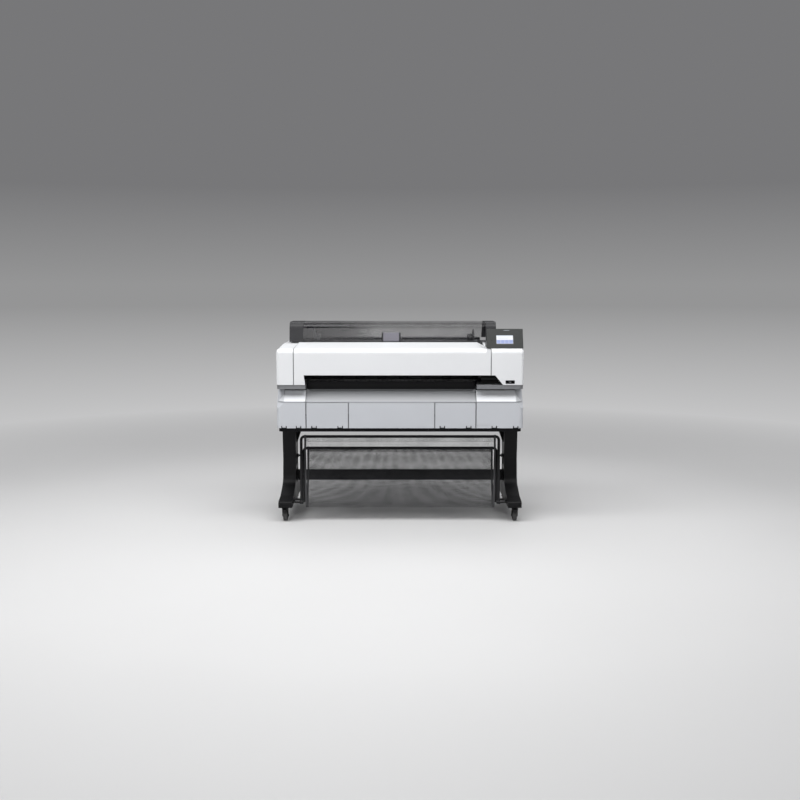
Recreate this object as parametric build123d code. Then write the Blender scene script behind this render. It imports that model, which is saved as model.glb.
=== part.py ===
from build123d import *
import math
import os

# Large format printer on a wheeled stand with a catch basket.
# Millimetres. Origin on the floor under the middle of the machine,
# X to the right seen from the front, Y towards the back, Z up.

# Whole machine
body_width = 1385.0
half_width = body_width / 2
body_front = -342.0
body_back = 342.0
wall = 3.0
seam = 1.5
contact_gap = 0.3
running_clearance = 0.05

# Heights of the horizontal seams, stacked up from the underside of the machine
base_bottom = 520.0
base_top = base_bottom + 18
lower_bottom = base_top + 3
slope_foot = lower_bottom + 148.5
guide_top = slope_foot - 3.5
exit_height = slope_foot + 56.5
slope_top = exit_height + 5
lower_top = exit_height + 13.5
trim_bottom = lower_top + seam
trim_top = trim_bottom + 24
hood_bottom = trim_top + 54

# Deck of the white covers, with the brow below it and the roll cover above
deck_height = hood_bottom + 162
front_top = deck_height - 16
cover_top = deck_height + 123

# Slope across the whole lower front: run towards the back for each unit of rise
slope_run = 0.92
facet_width = 42.5
facet_drop = 35.0
side_seam = body_front + 40.0

# Places across the machine, each kept at its distance from the side it belongs to
hood_left = -half_width + 98.5
hood_right = half_width - 184.5
hood_top_right = hood_right - 24
exit_left = -half_width + 164.5
exit_right = half_width - 265.5
centre_panel_left = exit_left + 238
centre_panel_right = exit_right - 232
opening_left = -half_width + 154.5
opening_right = half_width - 160.5
opening_slant_x = half_width - 112.5

# Chassis
base_width = body_width - 18
base_front = -328.0
base_back = 328.0
plate_wall = 3.0
plate_left = -half_width + 92.5
plate_right = half_width - 102.5
plate_back = 315.7
rail_height = 80.0
rail_bottom = exit_height + 104
rail_back = -56.0
rail_flange = 20.0
rail_wall = 4.0

# Body skins
corner_radius = 26.0
side_radius = 18.0
cover_back = 313.0
rear_depth = 26.0
rear_top = deck_height - 1
hood_back = -26.0
hood_hinge_y = -36.0
hood_hinge_z = deck_height - 15
hinge_pin_radius = 4.0
hood_bracket_left = hood_left + 34
hood_bracket_right = hood_top_right - 46

# Fold-down panels
panel_hinge_y = body_front + 8
panel_hinge_z = lower_bottom + 6
panel_pin_radius = 2.5
barrel_radius = 5.0
barrel_length = 20.0
ear_wall = 4.0
panel_rim = 10.0
left_guide_knuckles = (exit_left + 45, centre_panel_left - 46)
right_guide_knuckles = (centre_panel_right + 43, exit_right - 41)
ink_knuckles = (exit_right + 103, half_width - 42.5)
waste_knuckles = (-half_width + 40.5, exit_left - 42)

# Roll cover
roll_cover_left = -half_width + 42.5
roll_cover_right = half_width - 127.5
roll_cover_front = -14.0
roll_cover_back = 322.0
roll_cover_bottom = deck_height + 7.5
window_left = roll_cover_left + 80
window_right = roll_cover_right - 61
window_bottom = deck_height + 29
roll_hinge_y = roll_cover_back
roll_hinge_z = deck_height + 9
roll_hinge_spacing = 800.0
roll_barrel_length = 38.0
roll_barrel_radius = 6.0
roll_pin_radius = 3.0
roll_cover_middle = (roll_cover_left + roll_cover_right) / 2
handle_left = roll_cover_middle - 64.5
handle_right = roll_cover_middle + 45.5
handle_top = deck_height + 61

# Roll bay and spindle
bay_left = plate_left + 10
bay_right = hood_top_right + 0.5
sheet_wall = 2.5
spindle_y = 165.0
spindle_z = deck_height + 19
spindle_radius = 10.0
journal_radius = 8.0
flange_radius = 54.0
flange_wall = 8.0
core_radius = 25.0
core_length = 40.0
holder_wall = 14.0
movable_flange_x = bay_left + 68
fixed_flange_x = bay_right - 38.5

# Paper drive
platen_top = exit_height + 54
platen_front = -262.0
platen_back = -146.0
platen_deck = 30.0
rib_pitch = 25.0
feed_radius = 14.0
feed_y = -128.0
feed_journal_radius = 6.0
pinch_radius = 5.0
pinch_axle_radius = 2.0
pinch_length = 40.0
pinch_count = 8
pinch_first = exit_left + 48
pinch_pitch = (exit_right - 32 - pinch_first) / (pinch_count - 1)
paper_gap = 0.3
feed_z = platen_top - feed_radius - 1
pinch_z = feed_z + feed_radius + pinch_radius + paper_gap

# Carriage drive
carriage_width = 130.0
carriage_x = plate_right - 82
pulley_radius = 10.0
pulley_width = 8.0
pulley_flange = 13.0
pulley_axle_radius = 4.0
pulley_teeth = 20
belt_wall = 1.4
belt_y = -68.0
belt_z = rail_bottom + 102
idler_x = plate_left + 25
drive_x = plate_right - 24
motor_radius = 21.0
motor_length = 44.0

# Ink supply
cartridge_count = 4
cartridge_width = 40.0
cartridge_height = 160.0
cartridge_length = 230.0
cartridge_pitch = 47.0
cartridge_front = -298.0
cartridge_bottom = base_top + 18
ink_bay_left = half_width - 246.5
waste_box_width = 96.0
waste_box_height = 76.0
waste_box_length = 220.0
waste_box_x = -half_width + 76.5
waste_box_bottom = base_top + 28

# Control panel
panel_left = half_width - 204.5
panel_right = half_width
panel_bottom = deck_height - 13
panel_front = -303.0
panel_height = 108.0
panel_tilt = 25.0
screen_width = 97.0
screen_height = 54.0
screen_wall = 3.0
screen_x = half_width - 103.5
screen_rise = 52.0
button_radius = 6.0
button_x = half_width - 175.5

# Stand
leg_outer = half_width - 2.5
leg_width = 76.0
foot_half_length = 336.0
foot_bottom = 82.0
foot_top = 132.0
column_half_depth = 62.0
beam_bottom = 185.0
beam_top = 245.0
beam_depth = 40.0
beam_wall = 2.5
leg_inner = leg_outer - leg_width
bolt_head_radius = 8.0
bolt_head_height = 5.0

# Casters
wheel_radius = 30.0
wheel_width = 24.0
caster_x = leg_outer - 35
caster_y = foot_half_length - 36
caster_trail = 20.0
fork_wall = 4.0
fork_gap = 1.5
axle_radius = 4.0
stem_radius = 5.0
stem_length = 22.0
pedal_pin_radius = 2.5
pedal_reach = 19.0
pedal_drop = 12.0

# Catch basket
tube_radius = 8.0
tube_bend = 20.0
eye_radius = 10.0
eye_half = 10.0
front_arm_x = leg_inner - 40
front_foot_x = leg_inner - 52
rear_arm_x = leg_inner - 37
rear_foot_x = leg_inner - 62
cloth_half = leg_inner - 68
front_pivot_y = 43 - foot_half_length
front_pivot_z = 108.0
front_bar_y = -150.0
front_bar_z = 466.0
rear_foot_y = front_pivot_y + 35
rear_foot_z = 104.0
rear_bar_y = 40.0
rear_bar_z = 368.0
pivot_radius = 5.0
cloth_wall = 1.2
cloth_bottom = 74.0

# Connectors
inlet_x = half_width - 132.5
inlet_z = lower_bottom + 59
inlet_width = 48.0
inlet_height = 28.0
inlet_depth = 30.0
port_x = half_width - 222.5
port_z = inlet_z + 5
memory_slot_x = half_width - 76.5
memory_slot_z = trim_top + 16
memory_slot_width = 52.0
memory_slot_height = 20.0


def block(x_range, y_range, z_range):
    """Rectangular solid between three pairs of stations."""
    size = [high - low for low, high in (x_range, y_range, z_range)]
    middle = [(low + high) / 2 for low, high in (x_range, y_range, z_range)]
    return Pos(*middle) * Box(*size)


def outline(corners):
    """Closed outline through corners given as (across, up, corner radius)."""
    points = [(across, up) for across, up, _ in corners]
    radii = [radius for _, _, radius in corners]
    if any(radii):
        return make_face(FilletPolyline(*points, radius=radii, close=True))
    return make_face(Polyline(*points, close=True))


def side_prism(corners, x_range):
    """Outline in the side view, carried across the machine."""
    face = Plane.YZ.offset(x_range[0]) * outline(corners)
    return extrude(face, x_range[1] - x_range[0], dir=(1, 0, 0))


def front_prism(corners, y_range):
    """Outline in the front view, carried back into the machine."""
    face = Plane.XZ.offset(-y_range[0]) * outline(corners)
    return extrude(face, y_range[1] - y_range[0], dir=(0, 1, 0))


def plan_prism(corners, z_range):
    """Outline in the plan view, carried up."""
    face = Plane.XY.offset(z_range[0]) * outline(corners)
    return extrude(face, z_range[1] - z_range[0], dir=(0, 0, 1))


def sheet(points, radius, thickness, x_range):
    """Bent sheet whose edge follows a line in the side view."""
    line = FilletPolyline(*points, radius=radius)
    face = Plane.YZ.offset(x_range[0]) * trace(line, thickness)
    return extrude(face, x_range[1] - x_range[0], dir=(1, 0, 0))


def rod_x(radius, x_range, y, z):
    """Round bar along X."""
    middle = (x_range[0] + x_range[1]) / 2
    return Pos(middle, y, z) * Rot(0, 90, 0) * Cylinder(radius, x_range[1] - x_range[0])


def rod_y(radius, x, y_range, z):
    """Round bar along Y."""
    middle = (y_range[0] + y_range[1]) / 2
    return Pos(x, middle, z) * Rot(90, 0, 0) * Cylinder(radius, y_range[1] - y_range[0])


def rod_z(radius, x, y, z_range):
    """Round bar along Z."""
    return Pos(x, y, (z_range[0] + z_range[1]) / 2) * Cylinder(radius, z_range[1] - z_range[0])


def mirrored(solid):
    """Same piece for the other side of the machine."""
    return mirror(solid, Plane.YZ)


def repeated(places, shape):
    """Flat shape repeated at every place of a pattern."""
    return Sketch() + [place * shape for place in places]


# Chassis: a base pan and two side plates that carry everything else

def base_pan():
    """Folded floor pan with a rim, air slots and the fixed hinge ears of the fold-down panels."""
    depth = base_back - base_front
    outer = RectangleRounded(base_width, depth, corner_radius)
    inner = RectangleRounded(base_width - 2 * wall, depth - 2 * wall, corner_radius - wall)
    height = base_top - base_bottom
    pan = extrude(Plane.XY.offset(base_bottom) * outer, height)
    pan -= extrude(Plane.XY.offset(base_bottom + wall) * inner, height)
    slots = repeated(GridLocations(120, 160, 8, 2), SlotOverall(80, 8))
    pan -= extrude(Plane.XY.offset(base_bottom) * slots, wall)
    for knuckle in left_guide_knuckles + right_guide_knuckles + ink_knuckles + waste_knuckles:
        pan += hinge_ears(knuckle)
    cradle_left = waste_box_x - waste_box_width / 2 - contact_gap - wall
    cradle_right = waste_box_x + waste_box_width / 2 + contact_gap + wall
    cradle_floor = waste_box_bottom - contact_gap
    floor = base_bottom + wall
    cradle = [
        (cradle_left, floor, 0),
        (cradle_left, cradle_floor + 20, 0),
        (cradle_left + wall, cradle_floor + 20, 0),
        (cradle_left + wall, cradle_floor, 0),
        (cradle_right - wall, cradle_floor, 0),
        (cradle_right - wall, cradle_floor + 20, 0),
        (cradle_right, cradle_floor + 20, 0),
        (cradle_right, floor, 0),
        (cradle_right - wall, floor, 0),
        (cradle_right - wall, cradle_floor - wall, 0),
        (cradle_left + wall, cradle_floor - wall, 0),
        (cradle_left + wall, floor, 0),
    ]
    pan += front_prism(cradle, (cartridge_front + 20, cartridge_front + waste_box_length))
    return pan


def hinge_ears(x):
    """Two ears and the pin between them, standing on the front rim of the pan."""
    inner_half = barrel_length / 2 + contact_gap
    ear = [
        (base_front + wall, base_bottom + 4, 0),
        (base_front + wall, base_top + 2, 0),
        (panel_hinge_y + barrel_radius, panel_hinge_z + barrel_radius, 4),
        (panel_hinge_y - barrel_radius, panel_hinge_z + barrel_radius, 4),
        (panel_hinge_y - barrel_radius, panel_hinge_z - barrel_radius, 4),
        (base_front - 1, base_bottom + 4, 0),
    ]
    ears = side_prism(ear, (x - inner_half - ear_wall, x - inner_half))
    ears += side_prism(ear, (x + inner_half, x + inner_half + ear_wall))
    ears += rod_x(panel_pin_radius, (x - inner_half - 1, x + inner_half + 1), panel_hinge_y, panel_hinge_z)
    return ears


def side_frames():
    """Two pressed side plates with lightening holes and the bearing holes of the feed roller."""
    front_step = -20.0
    floor = base_bottom + wall
    top = front_top - 8
    corners = [
        (front_step, floor, 0),
        (plate_back, floor, 0),
        (plate_back, top, 20),
        (platen_front - 28, top, 30),
        (platen_front - 28, trim_top + contact_gap, 4),
        (platen_front, trim_top + contact_gap, 0),
        (platen_front, trim_top - 18, 4),
        (front_step, trim_top - 18, 12),
    ]
    plates = []
    for x in (plate_left, plate_right):
        plate = side_prism(corners, (x, x + plate_wall))
        plate -= rod_x(feed_journal_radius + running_clearance, (x - 1, x + plate_wall + 1), feed_y, feed_z)
        for y, rise, radius in ((90, 120, 60), (230, 120, 60), (230, 310, 60), (70, 280, 45)):
            plate -= rod_x(radius, (x - 1, x + plate_wall + 1), y, base_bottom + rise)
        flange_side = (x - 12, x) if x > 0 else (x + plate_wall, x + plate_wall + 12)
        plate += block(flange_side, (front_step + 10, plate_back - 10), (floor, floor + plate_wall))
        plates.append(plate)
    return Compound(children=[solid for plate in plates for solid in plate.solids()])


def deck_outline(inset, front, back, bottom):
    """Side view of the white upper covers: upright front, rounded brow, top rising to the back."""
    slope_top = deck_height - inset
    return [
        (front + inset, bottom, 0),
        (front + inset, front_top - inset, corner_radius - inset),
        (-22, slope_top, 0),
        (back, slope_top, 0),
        (back, bottom, 0),
    ]


def round_outer_side(solid, x, back, radius):
    """Radius along the front, brow and top edges on the outer side of a cover."""
    rim = [e for e in solid.edges() if abs(e.center().X - x) < 0.1]
    lowest = min(e.center().Z for e in rim)
    rim = [e for e in rim if e.center().Z > lowest + 1 and e.center().Y < back - 1]
    return fillet(rim, radius)


def end_cover(inner_x, outer_x):
    """Moulded end cover, open on its inner side, at the back and below."""
    bottom = trim_top + contact_gap
    way = 1 if outer_x > inner_x else -1
    shell = side_prism(deck_outline(0, body_front, cover_back, bottom), sorted((inner_x, outer_x)))
    core_range = sorted((inner_x - way, outer_x - way * wall))
    core = side_prism(deck_outline(wall, body_front, cover_back + 1, bottom - 1), core_range)
    shell = round_outer_side(shell, outer_x, cover_back, side_radius)
    return shell - round_outer_side(core, outer_x - way * wall, cover_back + 1, side_radius - wall)


# White upper covers

def side_cover_left():
    """Moulded cover over the left end of the carriage rail."""
    return end_cover(hood_left - seam, -body_width / 2)


def side_cover_right():
    """Moulded cover over the parking bay, with a shelf under the control panel and a memory stick slot."""
    inner_x = hood_right + seam
    shell = end_cover(inner_x, body_width / 2)
    skirt_bottom = deck_height - 60
    shelf_left = hood_top_right + 2.5
    shelf_right = inner_x + wall
    shelf = side_prism(deck_outline(0, panel_front, cover_back, skirt_bottom), (shelf_left, shelf_right))
    hollow = deck_outline(wall, panel_front, cover_back + 1, skirt_bottom - 1)
    shelf -= side_prism(hollow, (shelf_left + wall, shelf_right + 1))
    raised_back = (skirt_bottom - 1, deck_height - 22)
    shelf -= block((shelf_left - 1, shelf_right + 1), (panel_front + 13, cover_back + 1), raised_back)
    shell += shelf
    slant = [
        (inner_x - 1, hood_bottom, 0),
        (opening_right, hood_bottom, 0),
        (opening_slant_x, trim_top - 4, 0),
        (inner_x - 1, trim_top - 4, 0),
    ]
    shell -= front_prism(slant, (body_front - 1, body_front + 40))
    half_slot = memory_slot_width / 2
    half_rise = memory_slot_height / 2
    slot = RectangleRounded(memory_slot_width, memory_slot_height, 4)
    slot = Plane.XZ.offset(-body_front) * Pos(memory_slot_x, memory_slot_z) * slot
    shell -= extrude(slot, wall + 1, both=True)
    liner = 2.0
    tray = block(
        (memory_slot_x - half_slot - liner, memory_slot_x + half_slot + liner),
        (body_front + 0.6, body_front + 20 + liner),
        (memory_slot_z - half_rise - liner, memory_slot_z + half_rise + liner),
    )
    tray -= block(
        (memory_slot_x - half_slot, memory_slot_x + half_slot),
        (body_front, body_front + 20),
        (memory_slot_z - half_rise, memory_slot_z + half_rise),
    )
    return shell + tray


def front_cover():
    """Wide lift-up hood: front wall, brow and top in one moulding with end ribs and hinge ears."""
    left = hood_left
    full_right = hood_top_right - 32
    drop = 16.0
    roof_rise = 6.0

    def section(inset, x, lowered):
        top = deck_height + roof_rise - inset - lowered
        corners = [
            (body_front + inset, hood_bottom, 0),
            (body_front + inset, front_top - inset, corner_radius - inset),
            (hood_back, top, 0),
            (hood_back, hood_bottom, 0),
        ]
        return Plane.YZ.offset(x) * outline(corners)

    outer = extrude(section(0, left, 0), full_right - left, dir=(1, 0, 0))
    outer += loft([section(0, full_right, 0), section(0, hood_top_right, drop)], ruled=True)
    hollow_left = left + wall
    core = extrude(section(wall, hollow_left, 0), full_right - hollow_left, dir=(1, 0, 0))
    core += loft([section(wall, full_right, 0), section(wall, hood_top_right - wall, drop)], ruled=True)
    core -= block((left, hood_right), (hood_back - 60, hood_back + 1), (hood_bottom - 1, hood_bottom))
    hood = outer - core
    rib_bottom = front_top - 16
    across = (left - 1, hood_right)
    hood -= block(across, (body_front + wall, hood_back + 1), (hood_bottom - 1, rib_bottom))
    hood -= block(across, (hood_back - 40, hood_back + 1), (hood_bottom - 1, deck_height - 14))
    wing_top = front_top + 2
    wing = [
        (hood_top_right - 1, hood_bottom, 0),
        (hood_right, hood_bottom, 0),
        (hood_right, wing_top, 8),
        (hood_top_right - 1, wing_top, 0),
    ]
    hood += front_prism(wing, (body_front, body_front + wall))
    leg = [
        (left, trim_top + contact_gap, 0),
        (opening_left + 7, trim_top + contact_gap, 0),
        (opening_left, hood_bottom + 1, 0),
        (left, hood_bottom + 1, 0),
    ]
    hood += front_prism(leg, (body_front, body_front + wall))
    lip_depth = (body_front, body_front + 14)
    hood += block((opening_left, hood_right), lip_depth, (hood_bottom, hood_bottom + wall))
    ear_corners = [
        (hood_hinge_y - 9, deck_height + roof_rise - wall, 0),
        (hood_hinge_y + 9, deck_height + roof_rise - wall, 0),
        (hood_hinge_y + 9, hood_hinge_z - 9, 8),
        (hood_hinge_y - 9, hood_hinge_z - 9, 8),
    ]
    bore = hinge_pin_radius + running_clearance
    for x in (hood_bracket_left, hood_bracket_right):
        start = x - contact_gap - ear_wall
        hood += side_prism(ear_corners, (start, start + ear_wall))
        hood -= rod_x(bore, (start - 1, start + ear_wall + 1), hood_hinge_y, hood_hinge_z)
    return hood


# Grey lower skins

def slope_y(z, inset):
    """Place of the sloping front at a height, for the face itself or for the inside of its wall."""
    return body_front + (z - slope_foot) * slope_run + inset * math.hypot(1, slope_run)


def slope_profile(inset, back, top):
    """Side view of the lower front: upright face, then the slope that leans back under the trim."""
    bend_z = slope_foot - inset * (math.hypot(1, slope_run) - 1) / slope_run
    return [
        (body_front + inset, lower_bottom + inset, 0),
        (body_front + inset, bend_z, 3),
        (slope_y(top, inset), top, 0),
        (back, top, 0),
        (back, lower_bottom + inset, 0),
    ]


def facet(way, inset):
    """Everything outside the flat that cuts the corner between the slope and the side."""
    lean = math.hypot(1, slope_run)
    along_side = facet_drop / facet_width
    normal = Vector(way * along_side, -1 / lean, slope_run / lean).normalized()
    corner = Vector(way * (body_width / 2 - facet_width), body_front, slope_foot) - normal * inset
    half = 200.0
    return Plane(origin=corner, z_dir=normal) * Pos(0, 0, half) * Box(2 * half, 2 * half, 2 * half)


def lower_side_panels():
    """Two pressed side panels with folded edges, cut at the front by the corner flat."""
    outer_x = body_width / 2
    fold = 14.0
    corners = [
        (outer_x, lower_bottom, 2),
        (outer_x, lower_top, 2),
        (outer_x - fold, lower_top, 0),
        (outer_x - fold, lower_top - wall, 0),
        (outer_x - wall, lower_top - wall, 0),
        (outer_x - wall, lower_bottom + wall, 0),
        (outer_x - fold, lower_bottom + wall, 0),
        (outer_x - fold, lower_bottom, 0),
    ]
    front = side_seam + seam
    right = front_prism(corners, (front, cover_back))
    flat = block((outer_x - facet_width + seam, outer_x), (front, front + 90), (slope_foot - 60, lower_top))
    flat -= facet(1, 0)
    flat &= facet(1, wall)
    right -= facet(1, 0)
    right += flat
    rim_outer = base_width / 2
    standing_lip = (base_top + contact_gap, lower_bottom + 1)
    right += block((rim_outer - wall, rim_outer), (base_front + 70, base_back - 50), standing_lip)
    return Compound(children=[right.solids()[0], mirrored(right).solids()[0]])


def front_panel():
    """Fixed grey moulding: sloping paper exit across the machine and the centre front panel below it."""
    left = exit_left + seam
    right = exit_right - seam
    slope = sheet(
        [
            (body_front + wall / 2, guide_top + 0.5),
            (body_front + wall / 2, slope_foot - 0.5),
            (slope_y(exit_height, wall / 2), exit_height - wall / 2),
            (body_front + 72, exit_height - 6),
        ],
        [3, 8],
        wall,
        (left, right),
    )
    rim = 16.0
    centre_left = centre_panel_left + seam / 2
    centre_right = centre_panel_right - seam / 2
    depth = (body_front, body_front + rim)
    centre = block((centre_left, centre_right), depth, (lower_bottom, guide_top + 2))
    centre -= block(
        (centre_left + wall, centre_right - wall),
        (body_front + wall, body_front + rim + 1),
        (lower_bottom + wall, guide_top + 3),
    )
    moulding = slope + centre
    gusset_rise = 14.0
    gusset_run = 30.0
    for x, way in ((left, 1), (right, -1)):
        gusset = [
            (x, exit_height - 6, 0),
            (x, exit_height + gusset_rise, 0),
            (x + way * gusset_run, exit_height - 6, 0),
        ]
        moulding += front_prism(gusset, (body_front + 46, body_front + 52))
    ledge = [
        (body_front + 68, exit_height - 9, 0),
        (platen_front - contact_gap, exit_height - 9, 0),
        (platen_front - contact_gap, exit_height + 8, 0),
        (platen_front - contact_gap - wall, exit_height + 8, 0),
        (platen_front - contact_gap - wall, exit_height - 4.5, 0),
        (body_front + 68, exit_height - 4.5, 0),
    ]
    moulding += side_prism(ledge, (left, right))
    return moulding


def folding_panel(x_range, z_top, knuckles):
    """Fold-down front panel: thin face, folded rim and hinge barrels in two notches at its foot."""
    panel = block(x_range, (body_front, body_front + panel_rim), (lower_bottom, z_top))
    panel -= block(
        (x_range[0] + wall, x_range[1] - wall),
        (body_front + wall, body_front + panel_rim + 1),
        (lower_bottom + wall, z_top - wall),
    )
    return add_barrels(panel, knuckles)


def add_barrels(panel, knuckles):
    """Cut the knuckle notches and put a bored barrel on a web in each."""
    notch_half = barrel_length / 2 + contact_gap + ear_wall + 1.2
    notch_top = panel_hinge_z + barrel_radius + 2
    for x in knuckles:
        panel -= block(
            (x - notch_half, x + notch_half),
            (body_front - 1, body_front + 14),
            (lower_bottom - 1, notch_top),
        )
        span = (x - barrel_length / 2, x + barrel_length / 2)
        panel += rod_x(barrel_radius, span, panel_hinge_y, panel_hinge_z)
        web = [
            (body_front, notch_top + 1, 0),
            (body_front, panel_hinge_z, 0),
            (panel_hinge_y, panel_hinge_z - 1, 0),
            (body_front + wall, notch_top + 1, 0),
        ]
        panel += side_prism(web, span)
        bore = panel_pin_radius + running_clearance
        panel -= rod_x(bore, (span[0] - 1, span[1] + 1), panel_hinge_y, panel_hinge_z)
    return panel


def corner_cover(inner_x, outer_x, knuckles):
    """Fold-down cover that wraps round a front corner: upright face, slope and corner flat."""
    way = 1 if outer_x > inner_x else -1
    slope_back = slope_y(slope_top, 0)

    def body(inset):
        plan = [
            (inner_x + way * inset, slope_back + inset, 0),
            (inner_x + way * inset, body_front + inset, 0),
            (outer_x - way * inset, body_front + inset, corner_radius - inset),
            (outer_x - way * inset, slope_back + inset, 0),
        ]
        solid = plan_prism(plan, (lower_bottom + inset, slope_top - inset))
        x_range = sorted((inner_x - way, outer_x + way))
        solid &= side_prism(slope_profile(inset, slope_back + wall + 1, slope_top - inset), x_range)
        return solid - facet(way, inset)

    cover = body(0) - body(wall)
    low_x, high_x = sorted((inner_x - way, outer_x - way * corner_radius))
    behind_rim = slope_profile(panel_rim, slope_back + wall + 1, lower_top)
    behind_rim[0] = (body_front + panel_rim, lower_bottom - 1, 0)
    behind_rim[-1] = (slope_back + wall + 1, lower_bottom - 1, 0)
    cover -= side_prism(behind_rim, (low_x, high_x))
    side_x = sorted((outer_x - way * facet_width, outer_x + way))
    cover -= block(side_x, (side_seam, slope_back + wall + 1), (lower_bottom - 1, lower_top))
    inside = sorted((outer_x - way * (corner_radius + 1), outer_x - way * panel_rim))
    cover -= block(inside, (body_front + corner_radius, side_seam + 1), (lower_bottom - 1, slope_foot - 40))
    return add_barrels(cover, knuckles)


def cartridge_cover():
    """Right front cover of the ink bay, with a shallow finger rest at its lower inner corner."""
    cover = corner_cover(exit_right + seam, body_width / 2, ink_knuckles)
    rest_depth = 1.2
    rest_place = Pos(exit_right + 34, lower_bottom + 11)
    rest = Plane.XZ.offset(-body_front) * rest_place * RectangleRounded(58, 16, 4)
    cover -= extrude(rest, rest_depth, both=True)
    return cover


def trim_bands():
    """Two grey bands between the lower skins and the white covers."""
    bands = []
    for inner_x, outer_x in ((exit_left - seam, -body_width / 2 + 2), (exit_right + 4, body_width / 2 - 2)):
        way = 1 if outer_x > inner_x else -1
        corners = [
            (inner_x, cover_back, 0),
            (inner_x, body_front + 3, 2),
            (outer_x, body_front + 3, corner_radius),
            (outer_x, cover_back, 0),
        ]
        band = plan_prism(corners, (trim_bottom, trim_top))
        hollow = [
            (inner_x + way * 2 * wall, -40, 0),
            (inner_x + way * 2 * wall, body_front + 3 + 2 * wall, 0),
            (outer_x - way * wall, body_front + 3 + 2 * wall, corner_radius - 2 * wall),
            (outer_x - way * wall, -40, 0),
        ]
        band -= plan_prism(hollow, (trim_bottom + wall, trim_top - wall))
        rear_hollow = sorted((inner_x - way, outer_x - way * 22))
        band -= block(rear_hollow, (platen_front - 2, cover_back + 1), (trim_bottom - 1, trim_top + 1))
        bands.append(band.solids()[0])
    return Compound(children=bands)


def rear_cover():
    """Back panel with rounded corners, air grille, connector cut-outs and the roll cover's hinge ears."""
    half = body_width / 2
    front = body_back - rear_depth

    def plan(inset):
        return [
            (-half + inset, front - inset, 0),
            (-half + inset, body_back - inset, corner_radius - inset - 4),
            (half - inset, body_back - inset, corner_radius - inset - 4),
            (half - inset, front - inset, 0),
        ]

    panel = plan_prism(plan(0), (lower_bottom, rear_top))
    panel -= plan_prism(plan(wall), (lower_bottom + wall, rear_top - wall))
    slats = repeated(GridLocations(14, 110, 16, 2), SlotOverall(90, 6, rotation=90))
    grille = Pos(exit_left + 168, exit_height - 26) * slats
    panel -= extrude(Plane.XZ.offset(-body_back) * grille, wall + 1, both=True)
    inlet_hole = (inlet_width + 2 * contact_gap, inlet_height + 2 * contact_gap)
    hole = Plane.XZ.offset(-body_back) * Pos(inlet_x, inlet_z) * Rectangle(*inlet_hole)
    panel -= extrude(hole, wall + 1, both=True)
    for x, width in ((0, 14), (-26, 18), (-52, 10)):
        port = Plane.XZ.offset(-body_back) * Pos(port_x + x, port_z) * Rectangle(width, 13)
        panel -= extrude(port, wall + 1, both=True)
    for side in (-1, 1):
        x = roll_cover_middle + side * roll_hinge_spacing / 2
        inner = roll_barrel_length / 2 + contact_gap
        ear = [
            (body_back - rear_depth + 1, rear_top - 6, 0),
            (roll_hinge_y - roll_barrel_radius, roll_hinge_z + roll_barrel_radius, 5),
            (roll_hinge_y + roll_barrel_radius, roll_hinge_z + roll_barrel_radius, 5),
            (roll_hinge_y + roll_barrel_radius + 2, rear_top - 6, 0),
        ]
        panel += side_prism(ear, (x - inner - ear_wall, x - inner))
        panel += side_prism(ear, (x + inner, x + inner + ear_wall))
        panel += rod_x(roll_pin_radius, (x - inner - 1, x + inner + 1), roll_hinge_y, roll_hinge_z)
    return panel


def mains_inlet():
    """Three-pin appliance inlet set into the back panel, pins short of the mouth."""
    back = body_back
    body = block(
        (inlet_x - inlet_width / 2, inlet_x + inlet_width / 2),
        (back - inlet_depth, back),
        (inlet_z - inlet_height / 2, inlet_z + inlet_height / 2),
    )
    mouth = [
        (inlet_x - 12.2, inlet_z - 8.3, 0),
        (inlet_x + 12.2, inlet_z - 8.3, 0),
        (inlet_x + 12.2, inlet_z + 3.0, 0),
        (inlet_x + 7.0, inlet_z + 8.3, 0),
        (inlet_x - 7.0, inlet_z + 8.3, 0),
        (inlet_x - 12.2, inlet_z + 3.0, 0),
    ]
    body -= front_prism(mouth, (back - 18, back + 1))
    for across, up in ((-7, -2.5), (0, 1.5), (7, -2.5)):
        x = inlet_x + across
        z = inlet_z + up
        body += block((x - 1, x + 1), (back - 19, back - 3), (z - 2, z + 2))
    return body


# Roll cover

def roll_cover_outline(inset):
    """Side view of the dark lid: leaning front, flat top and curved back."""
    return [
        (roll_cover_front + inset, roll_cover_bottom - 2, 0),
        (roll_cover_front + 16 + inset, cover_top - inset, 40 - inset),
        (roll_cover_back - 70 - inset, cover_top - inset, 60 - inset),
        (roll_cover_back + 3 - inset, roll_hinge_z + 22, 30),
        (roll_cover_back + 3 - inset, roll_cover_bottom - 2, 0),
    ]


def roll_cover_shell():
    """Whole lid before the window is parted from its frame."""
    shell = side_prism(roll_cover_outline(0), (roll_cover_left, roll_cover_right))
    inner_range = (roll_cover_left + wall, roll_cover_right - wall)
    shell -= side_prism(roll_cover_outline(wall), inner_range)
    shell -= block(
        (roll_cover_left - 1, roll_cover_right + 1),
        (roll_cover_front - 10, roll_cover_back + 10),
        (roll_cover_bottom - 10, roll_cover_bottom),
    )
    shell -= block(
        (roll_cover_left - 1, roll_cover_right + 1),
        (roll_cover_back - 12, roll_cover_back + 10),
        (roll_cover_bottom - 10, roll_hinge_z + roll_barrel_radius + 3),
    )
    side_clearance = deck_outline(-2, body_front, cover_back + 60, deck_height - 80)
    return shell - side_prism(side_clearance, (roll_cover_left - 1, roll_cover_right + 1))


def window_zone():
    """Space taken by the see-through window, notched round the grip."""
    y_range = (roll_cover_front - 5, roll_cover_back - 60)
    zone = block((window_left, window_right), y_range, (window_bottom, cover_top + 5))
    notch_z = (window_bottom - 1, handle_top + seam)
    notch = block((handle_left - seam, handle_right + seam), (y_range[0], 60), notch_z)
    return zone - notch


def roll_cover_window():
    """Smoked window over the roll."""
    return roll_cover_shell() & window_zone()


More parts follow.
